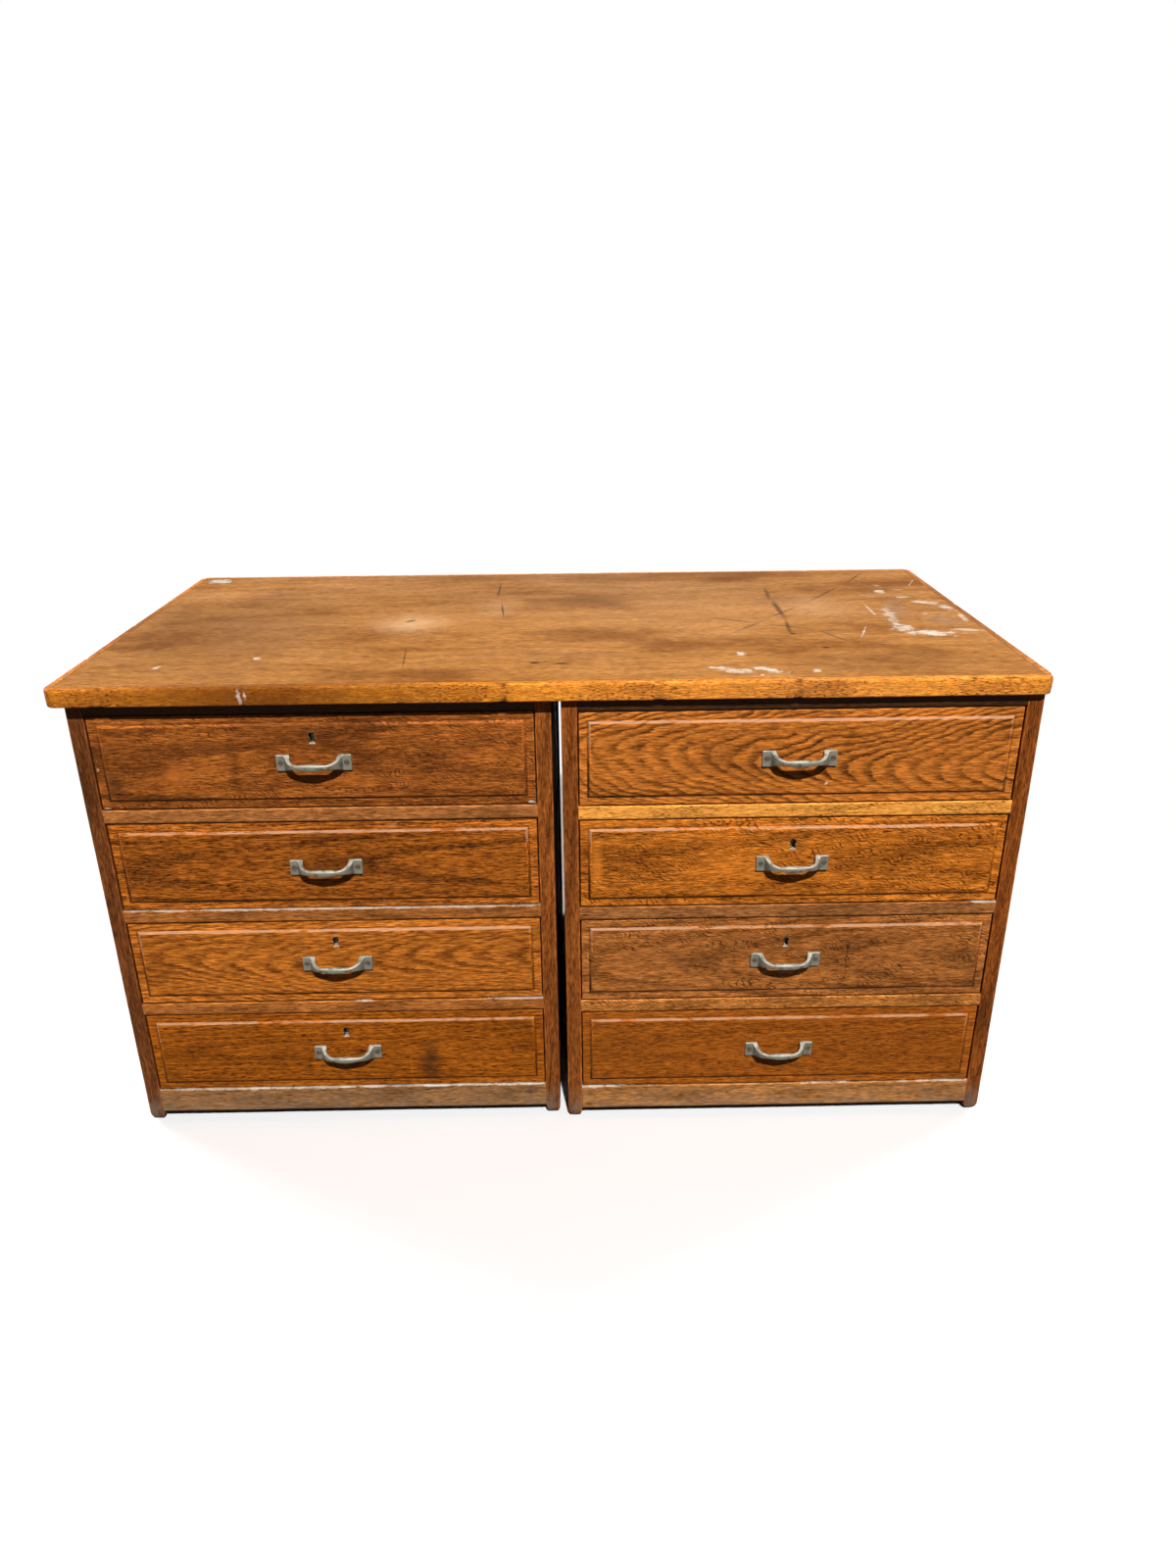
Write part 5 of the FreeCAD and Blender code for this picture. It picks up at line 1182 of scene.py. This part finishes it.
class CABINET_OT_top(bpy.types.Operator):
    """Makes the top: a board, a lipping with rounded corners round it, and a torn scrap of paper on it"""

    bl_idname = "cabinet.make_top"
    bl_label = "Top"

    def execute(self, context):
        tones = context.scene.cabinet_tones
        shape = context.scene.cabinet_shape
        low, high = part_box("top_lippings")
        centre = np.array((low + high) / 2)
        half = np.array((high - low) / 2)
        path, inward = rounded_rectangle(half[:2], shape.top_corner, TOP_CORNER_POINTS, TOP_SPACING)
        self.make_lipping(path, inward, low, high, centre, tones, shape)
        self.make_board(path + inward * shape.lipping, low, high, centre, tones)
        self.make_scrap(high, tones)
        return {"FINISHED"}

    def make_lipping(self, path, inward, low, high, centre, tones, shape):
        """A section carried round the rounded rectangle: each row is inset, height, wear and grime."""
        soft = shape.top_round
        wide = shape.lipping
        bend = np.linspace(0, np.pi / 2, TOP_ARRIS_POINTS)
        lower = [(soft * (1 - math.sin(turn)), low[2] + soft * (1 - math.cos(turn)), 0.3, 0.0)
                 for turn in bend]
        upper = [(soft * (1 - math.cos(turn)), high[2] - soft * (1 - math.sin(turn)), 0.35, 0.0)
                 for turn in bend]
        section = np.array([
            *lower,
            (0.0, centre[2], 0.0, 0.0),
            (0.0, high[2] - soft - TOP_BAND, 0.0, 0.0),
            *upper,
            (soft + TOP_BAND, high[2], 0.0, 0.0),
            (wide - 4 * SEAM_WIDTH, high[2], 0.0, 0.0),
            (wide - SEAM_WIDTH, high[2] - SEAM_LIP, 0.0, 0.8),
            (wide, high[2] - SEAM_DEPTH, 0.0, 1.0),
            (wide, low[2], 0.0, 0.0)])
        inset, height, wear, grime = (column[:, None] for column in section.T)
        girth = np.cumsum(np.linalg.norm(np.diff(path, axis=0, append=path[:1]), axis=1))
        rough = sway(girth, 71, 0.5, 7)
        chips = np.clip(sway(girth, 72, 0.16, 5) - 0.55, 0, 1)
        worn = (wear > 0) * (TOP_WORN * (1 + rough) + TOP_CHIP * chips)
        drawn = (inset + worn)[..., None]
        flat = centre[:2] + path + drawn * inward
        tall = height - np.sign(height - centre[2]) * worn * 0.6
        points = np.concatenate([flat, tall[..., None]], axis=-1)
        # Along the two ends the arris is kept less worn and so darker, as painted shade on the ends.
        rubbed = wear * np.clip(0.7 + 0.7 * rough, 0, 1) * (1 - 0.8 * np.abs(inward[:, 0]))
        settled = np.clip(0.6 + 0.5 * sway(girth, 73, 0.4), 0, 1)
        dirt = grime * settled + (wear > 0) * np.clip(4 * chips, 0, 1)
        ends = (high[0] - low[0]) / 2 - shape.top_corner * (1 - math.cos(math.pi / 4))
        finish = oak("lipping_oak", tones, LIPPING_LOOK, "yxz", tuple(centre), 2.0, EDGE_MARKS,
                     between=ends)
        band = grid_surface(points, rubbed, np.clip(dirt, 0, 1), ring=True)
        piece = new_object("top_lipping_worn", [band], [finish])
        dress(piece, CARCASS, "oak_lipping", "top_lippings")

    def make_board(self, edge, low, high, centre, tones):
        """The board inside the lipping: its outline drawn in row by row until it closes to a line."""
        half = np.abs(edge).max(axis=0)
        unit = edge / half
        rows = np.array([
            (half[1], low[2], 0.0),
            (0.0, low[2], 0.0),
            (0.0, high[2] - SEAM_DEPTH, 1.0),
            (SEAM_WIDTH, high[2] - SEAM_LIP, 0.8),
            *((inset, high[2], 0.0) for inset in np.linspace(6 * SEAM_WIDTH, half[1], 9))])
        inset, height, grime = (column[:, None] for column in rows.T)
        points = np.stack([
            centre[0] + unit[:, 0] * (half[0] - inset),
            centre[1] + unit[:, 1] * (half[1] - inset),
            height + 0 * unit[:, 0]], axis=-1)
        look = Look(tuple(tones.top), tuple(tones.top_early), 0.030, 0.02, 0.14, waver=0.12,
                    contrast=0.25, pores=0.6, streak=0.45, mottle=1.1, rough=0.42, gloss=0.02, fibre=0.38)
        finish = oak("top_oak", tones, look, "xzy", tuple(centre), 4.0, TOP_MARKS)
        surface = grid_surface(points, grime=grime + 0 * unit[:, 0])
        piece = new_object("top_board_worn", [surface], [finish])
        dress(piece, CARCASS, "oak_top", "top_core")

    def make_scrap(self, high, tones):
        """The scrap, which lies on the board."""
        sheet = scrap((*SCRAP_PLACE, high[2]), SCRAP_REACH, SCRAP_LIFT, 81)
        piece = new_object("torn_paper_scrap", [sheet], [torn_paper("torn_paper", tones)])
        dress(piece, CARCASS, "")


# How far the end of a post under the top and of a rail is rounded, in metres.
POST_END = 0.0003
RAIL_ENDS = (0.0002, 0.0002)


class CABINET_OT_posts(bpy.types.Operator):
    """Makes the eight posts, with rounded feet"""

    bl_idname = "cabinet.make_posts"
    bl_label = "Posts"

    def execute(self, context):
        tones = context.scene.cabinet_tones
        shape = context.scene.cabinet_shape
        for number, side in enumerate(SIDES):
            low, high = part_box(f"{side}_posts")
            boards = []
            finishes = []
            for right in (False, True):
                for back in (False, True):
                    x = high.x - shape.post_width if right else low.x
                    y = high.y - shape.post_depth if back else low.y
                    seed = 100 * number + 20 * right + 10 * back
                    far_corner = (x + shape.post_width, y + shape.post_depth, high.z)
                    boards.append(board((x, y, low.z), far_corner, 2, shape.board_round,
                                        (shape.foot_round, POST_END), seed, arris=POST_WEAR,
                                        stretch=FOOT_STRETCH))
                    outer = right == (side == "right")
                    look = OUTER_POST_LOOKS[side] if outer and not back else POST_LOOK
                    finishes.append(oak(f"{side}_post_oak_{len(boards)}", tones, look, "zyx",
                                        (x, y, 0.35), 0.37 * seed + 1.0, dusty=0.65))
            piece = new_object(f"{side}_posts_worn", boards, finishes)
            dress(piece, CARCASS, "oak_carcass", f"{side}_posts")
        return {"FINISHED"}


class CABINET_OT_rails(bpy.types.Operator):
    """Makes the drawer rails, with their strike mortises, and the plinths"""

    bl_idname = "cabinet.make_rails"
    bl_label = "Rails and plinths"

    def execute(self, context):
        tones = context.scene.cabinet_tones
        shape = context.scene.cabinet_shape
        for number, side in enumerate(SIDES):
            self.make_rails(number, side, tones, shape)
            self.make_plinth(number, side, tones, shape)
        return {"FINISHED"}

    def make_rails(self, number, side, tones, shape):
        """A rail over each drawer of a pedestal, cut for the bolts of the locked ones."""
        rails_low, rails_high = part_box(f"{side}_drawer_rails")
        boards = []
        finishes = []
        strikes = []
        for level in LEVELS:
            low, high = opening(side, level, shape.front_gap)
            above = opening(side, level - 1, shape.front_gap)[0].z if level > 1 else rails_high.z
            seed = 300 + 50 * number + 5 * level
            boards.append(board((low.x, rails_low.y, high.z), (high.x, rails_high.y, above), 0,
                                shape.board_round, RAIL_ENDS, seed, GAP_SHADE))
            centre = ((low.x + high.x) / 2, rails_low.y, (high.z + above) / 2)
            finishes.append(oak(f"{side}_rail_oak_{level}", tones, RAIL_LOOKS[side, level - 1], "xyz",
                                centre, 0.21 * seed, worn_and_lit_lines(side, level, above)))
            if is_locked(side, level):
                strikes.append(self.strike(side, level, high.z, shape))
        piece = new_object(f"{side}_drawer_rails_worn", boards, finishes)
        carve(piece, strikes)
        dress(piece, CARCASS, "oak_carcass", f"{side}_drawer_rails")

    def strike(self, side, level, underside, shape):
        """The mortise over a bolt, cut into its rail from below."""
        low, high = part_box(drawer(side, level, "bolt"))
        play = Vector((shape.strike_play, shape.strike_play, 0.0))
        start = low - play
        end = high + play
        return block((start.x, start.y, underside - OVERRUN),
                     (end.x, end.y, underside + shape.strike_depth))

    def make_plinth(self, number, side, tones, shape):
        """The plinth between the front posts of a pedestal."""
        low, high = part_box(f"{side}_plinth_rail")
        open_low, open_high = opening(side, LEVELS[-1], shape.front_gap)
        start = (open_low.x, low.y, low.z)
        end = (open_high.x, high.y, high.z)
        centre = ((start[0] + end[0]) / 2, start[1], (start[2] + end[2]) / 2)
        finish = oak(f"{side}_plinth_oak", tones, PLINTH_LOOKS[side], "xyz", centre, 7.0 + number,
                     worn_and_lit_lines(side, LEVELS[-1] + 1, high.z), dusty=0.5)
        plinth = board(start, end, 0, shape.board_round, RAIL_ENDS, 400 + number, GAP_SHADE)
        piece = new_object(f"{side}_plinth_worn", [plinth], [finish])
        dress(piece, CARCASS, "oak_carcass", f"{side}_plinth_rail")


class CABINET_OT_fronts(bpy.types.Operator):
    """Makes the eight drawer fronts, with raised fields, keyholes and recesses for the locks"""

    bl_idname = "cabinet.make_fronts"
    bl_label = "Drawer fronts"

    def execute(self, context):
        tones = context.scene.cabinet_tones
        shape = context.scene.cabinet_shape
        for side, level in DRAWERS:
            node = drawer(side, level, "front")
            low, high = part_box(node)
            seed = 500 + 60 * SIDES.index(side) + 7 * level
            look = FRONT_LOOKS[side, level]
            finish = oak(f"{node}_oak", tones, look, "xyz", middle(node), 0.17 * seed,
                         FRONT_MARKS.get((side, level), ()))
            piece = new_object(f"{node}_worn", [fielded_front(low, high, shape, look, seed)], [finish])
            if is_locked(side, level):
                lock_low, lock_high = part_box(drawer(side, level, "lock"))
                key = ((lock_low.x + lock_high.x) / 2, lock_low.z + shape.lock_below)
                carve(piece, [keyhole(key, shape, low.y - OVERRUN, high.y - shape.lock_case / 2)])
                carve(piece, [block((lock_low.x, high.y - shape.lock_case, lock_low.z),
                                    (lock_high.x, high.y + OVERRUN, high.z + OVERRUN))])
            dress(piece, f"{side}_drawer_{level}", "oak_front", node)
        return {"FINISHED"}


class CABINET_OT_handles(bpy.types.Operator):
    """Makes the eight cast handles, countersunk for their screws, and gives the screws their finish"""

    bl_idname = "cabinet.make_handles"
    bl_label = "Handles and screws"

    def execute(self, context):
        tones = context.scene.cabinet_tones
        shape = context.scene.cabinet_shape
        metal = cast_metal("handle_cast_metal", tones, 6.0)
        steel = aged_metal("screw_rusty_steel", tones, tones.steel, tones.rust, 8.0, metallic=0.3)
        low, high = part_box(drawer(SIDES[0], LEVELS[0], "handle"))
        size = high - low
        template = new_object("handle_template", [cast_handle(size.x, size.z, size.y, shape)], [metal])
        sink = ((0.0, -OVERRUN), (shape.screw_head, -OVERRUN), (shape.screw_head, 0.0),
                (shape.screw_neck, shape.screw_sink), (0.0, shape.screw_sink))
        carve(template, [turned(sink, (x, -shape.handle_plate, 0.0))
                         for x in (shape.screw_inset, size.x - shape.screw_inset)])
        for side, level in DRAWERS:
            node = drawer(side, level, "handle")
            low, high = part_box(node)
            mesh = template.data.copy()
            mesh.transform(Matrix.Translation((low.x, high.y, (low.z + high.z) / 2)))
            piece = bpy.data.objects.new(f"{node}_cast", mesh)
            context.scene.collection.objects.link(piece)
            dress(piece, f"{side}_drawer_{level}", "handle_metal", node)
            finish_node(drawer(side, level, "screws"), steel)
        used = template.data
        bpy.data.objects.remove(template)
        bpy.data.meshes.remove(used)
        return {"FINISHED"}


class CABINET_OT_frames(bpy.types.Operator):
    """Gives the side frames, panels, runners and stops their finish"""

    bl_idname = "cabinet.finish_frames"
    bl_label = "Frames, panels and runners"

    def execute(self, context):
        tones = context.scene.cabinet_tones
        post_width = context.scene.cabinet_shape.post_width
        inside = inside_look(tones, 0.006)
        for number, side in enumerate(SIDES):
            for part, axes, look in (("side_panels", "zxy", PANEL_LOOK), ("back_panel", "zyx", PANEL_LOOK),
                                     ("frame_rails", "yxz", PANEL_LOOK), ("runners", "yxz", inside),
                                     ("drawer_stops", "yxz", inside)):
                node = f"{side}_{part}"
                between = half_width(node) - post_width if part == "frame_rails" else None
                finish_node(node, oak(f"{node}_oak", tones, look, axes, middle(node), 40.0 + 3 * number,
                                      between=between))
        return {"FINISHED"}


class CABINET_OT_boxes(bpy.types.Operator):
    """Gives the drawer boxes their finish"""

    bl_idname = "cabinet.finish_boxes"
    bl_label = "Drawer boxes"

    def execute(self, context):
        tones = context.scene.cabinet_tones
        side_thickness = context.scene.cabinet_shape.drawer_side
        look = inside_look(tones, 0.008, 0.02, 0.05)
        for side, level in DRAWERS:
            node = drawer(side, level, "box")
            seed = 60.0 + 8 * SIDES.index(side) + level
            finish_node(node, oak(f"{node}_timber", tones, look, "yxz", middle(node), seed,
                                  between=half_width(node) - side_thickness))
        return {"FINISHED"}


# How deep a keyhole's rim is, how deep the hole goes into the lock's case, and how high the painted highlight
# at its foot reaches.
RIM_FACE = 0.0012
CASE_PLATE = 0.003
KEY_HIGHLIGHT = 0.0020


class CABINET_OT_locks(bpy.types.Operator):
    """Gives the locks and their bolts their finish"""

    bl_idname = "cabinet.finish_locks"
    bl_label = "Locks and bolts"

    def execute(self, context):
        tones = context.scene.cabinet_tones
        shape = context.scene.cabinet_shape
        metal = (tones.brass, tones.brass_stain, 12.0)
        bolt_brass = aged_metal("bolt_aged_brass", tones, *metal, metallic=0.85)
        for side, level in DRAWERS:
            if is_locked(side, level):
                node = drawer(side, level, "lock")
                low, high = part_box(node)
                hole = (low.y + RIM_FACE, high.y - shape.lock_case + CASE_PLATE,
                        low.z + shape.lock_below - shape.key_drop + KEY_HIGHLIGHT)
                brass = aged_metal(f"{node}_aged_brass", tones, *metal, metallic=0.4, hole=hole)
                finish_node(node, brass)
                finish_node(drawer(side, level, "bolt"), bolt_brass)
        return {"FINISHED"}


class CABINET_OT_stage(bpy.types.Operator):
    """Makes the floor, the lamp, the soft fill and the camera"""

    bl_idname = "cabinet.make_stage"
    bl_label = "Stage"

    def execute(self, context):
        stage = context.scene.cabinet_stage
        self.make_floor(context, stage)
        self.make_light(context, stage)
        self.make_camera(context, stage)
        context.scene.view_settings.view_transform = "Standard"
        return {"FINISHED"}

    def seen(self, graph):
        """1 for a ray from the camera, a mirror or glass."""
        path = graph.node("ShaderNodeLightPath", {}).outputs
        return graph.most(path["Is Camera Ray"], path["Is Glossy Ray"], path["Is Transmission Ray"])

    def make_floor(self, context, stage):
        """A pale floor that keeps the shadow near the object and is plain white far off."""
        reach = stage.floor_reach
        mesh = bpy.data.meshes.new("floor")
        mesh.from_pydata([(-reach, -reach, 0), (reach, -reach, 0), (reach, reach, 0), (-reach, reach, 0)], [],
                         [(0, 1, 2, 3)])
        floor = bpy.data.objects.new("floor", mesh)
        context.scene.collection.objects.link(floor)
        graph = new_material("floor_white")
        place = graph.place()
        far = graph.node("ShaderNodeVectorMath", {0: place}, operation="LENGTH").outputs["Value"]
        seen = self.seen(graph)
        share = graph.product(graph.span(far, stage.shadow_reach, stage.blend_reach), seen)
        cloud = graph.noise(place, (3.0, 3.0, 3.0), 1.0)
        tone = graph.mix(seen, stage.floor_bounce, stage.floor)
        graph.close(tone, graph.math("MULTIPLY_ADD", cloud, 0.1, 0.8), cloud, 0.05, 0.001,
                    Specular_IOR_Level=0.1)
        glow = graph.node("ShaderNodeEmission", {"Color": (1.0, 1.0, 1.0), "Strength": 1.0})
        both = graph.node("ShaderNodeMixShader", {0: share, 1: graph.shader.outputs[0], 2: glow.outputs[0]})
        graph.feed(graph.tree.nodes["Material Output"].inputs["Surface"], both.outputs[0])
        mesh.materials.append(graph.owner)

    def make_light(self, context, stage):
        """A front lamp, two broad ones behind, and a white world that lights gently and is seen as white."""
        target = (CAD_BOX[0] + CAD_BOX[1]) / 2
        sides = (stage.side_height, stage.side_distance, stage.side_size, stage.side_power)
        for name, turn, (height, distance, size, power) in (
                ("key_lamp", stage.lamp_turn,
                 (stage.lamp_height, stage.lamp_distance, stage.lamp_size, stage.lamp_power)),
                ("left_lamp", -stage.side_turn, sides),
                ("right_lamp", stage.side_turn, sides)):
            flat = math.cos(height)
            toward = Vector((math.sin(turn) * flat, -math.cos(turn) * flat, math.sin(height)))
            data = bpy.data.lights.new(name, "AREA")
            data.shape = "SQUARE"
            data.size = size
            data.energy = power
            lamp = bpy.data.objects.new(name, data)
            lamp.location = target + toward * distance
            lamp.rotation_euler = toward.to_track_quat("Z", "Y").to_euler()
            context.scene.collection.objects.link(lamp)
        world = bpy.data.worlds.new("studio")
        context.scene.world = world
        graph = Graph(world, "Background")
        level = graph.node("ShaderNodeMapRange", {"Value": self.seen(graph), "To Min": stage.fill})
        graph.feed(graph.shader.inputs["Color"], (1.0, 1.0, 1.0))
        graph.feed(graph.shader.inputs["Strength"], level.outputs[0])

    def make_camera(self, context, stage):
        """The camera, from its place, turn, tilt and roll."""
        turn = Matrix.Rotation(stage.yaw, 3, "Z")
        ahead = turn @ Vector((0.0, math.cos(stage.pitch), -math.sin(stage.pitch)))
        right = turn @ Vector((1.0, 0.0, 0.0))
        up = right.cross(ahead)
        rolled_right = math.cos(stage.roll) * right + math.sin(stage.roll) * up
        rolled_up = math.cos(stage.roll) * up - math.sin(stage.roll) * right
        data = bpy.data.cameras.new("camera")
        data.lens = stage.lens
        camera = bpy.data.objects.new("camera", data)
        axes = Matrix((rolled_right, rolled_up, -ahead)).transposed().to_4x4()
        camera.matrix_world = Matrix.Translation(stage.camera) @ axes
        context.scene.collection.objects.link(camera)
        context.scene.camera = camera


class CABINET_PT_panel(bpy.types.Panel):
    """Lists the cabinet's operators and settings"""

    bl_label = "Oak drawer cabinet"
    bl_idname = "CABINET_PT_panel"
    bl_space_type = "VIEW_3D"
    bl_region_type = "UI"
    bl_category = "Cabinet"

    def draw(self, context):
        for operator in OPERATORS:
            self.layout.operator(operator.bl_idname)
        for name in SETTINGS:
            group = getattr(context.scene, name)
            for key in group.bl_rna.properties.keys():
                if key not in ("rna_type", "name"):
                    self.layout.prop(group, key)


SETTINGS = {"cabinet_tones": ToneSettings, "cabinet_shape": ShapeSettings, "cabinet_stage": StageSettings}
OPERATORS = (CABINET_OT_top, CABINET_OT_posts, CABINET_OT_rails, CABINET_OT_fronts, CABINET_OT_handles,
             CABINET_OT_frames, CABINET_OT_boxes, CABINET_OT_locks, CABINET_OT_stage)


def register():
    for made in (*SETTINGS.values(), *OPERATORS, CABINET_PT_panel):
        bpy.utils.register_class(made)
    for name, group in SETTINGS.items():
        setattr(bpy.types.Scene, name, PointerProperty(type=group))


def unregister():
    for name in SETTINGS:
        delattr(bpy.types.Scene, name)
    for made in reversed((*SETTINGS.values(), *OPERATORS, CABINET_PT_panel)):
        bpy.utils.unregister_class(made)


def main():
    register()
    bpy.ops.cabinet.make_top()
    bpy.ops.cabinet.make_posts()
    bpy.ops.cabinet.make_rails()
    bpy.ops.cabinet.make_fronts()
    bpy.ops.cabinet.make_handles()
    bpy.ops.cabinet.finish_frames()
    bpy.ops.cabinet.finish_boxes()
    bpy.ops.cabinet.finish_locks()
    bpy.ops.cabinet.make_stage()
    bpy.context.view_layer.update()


if __name__ == "__main__":
    main()
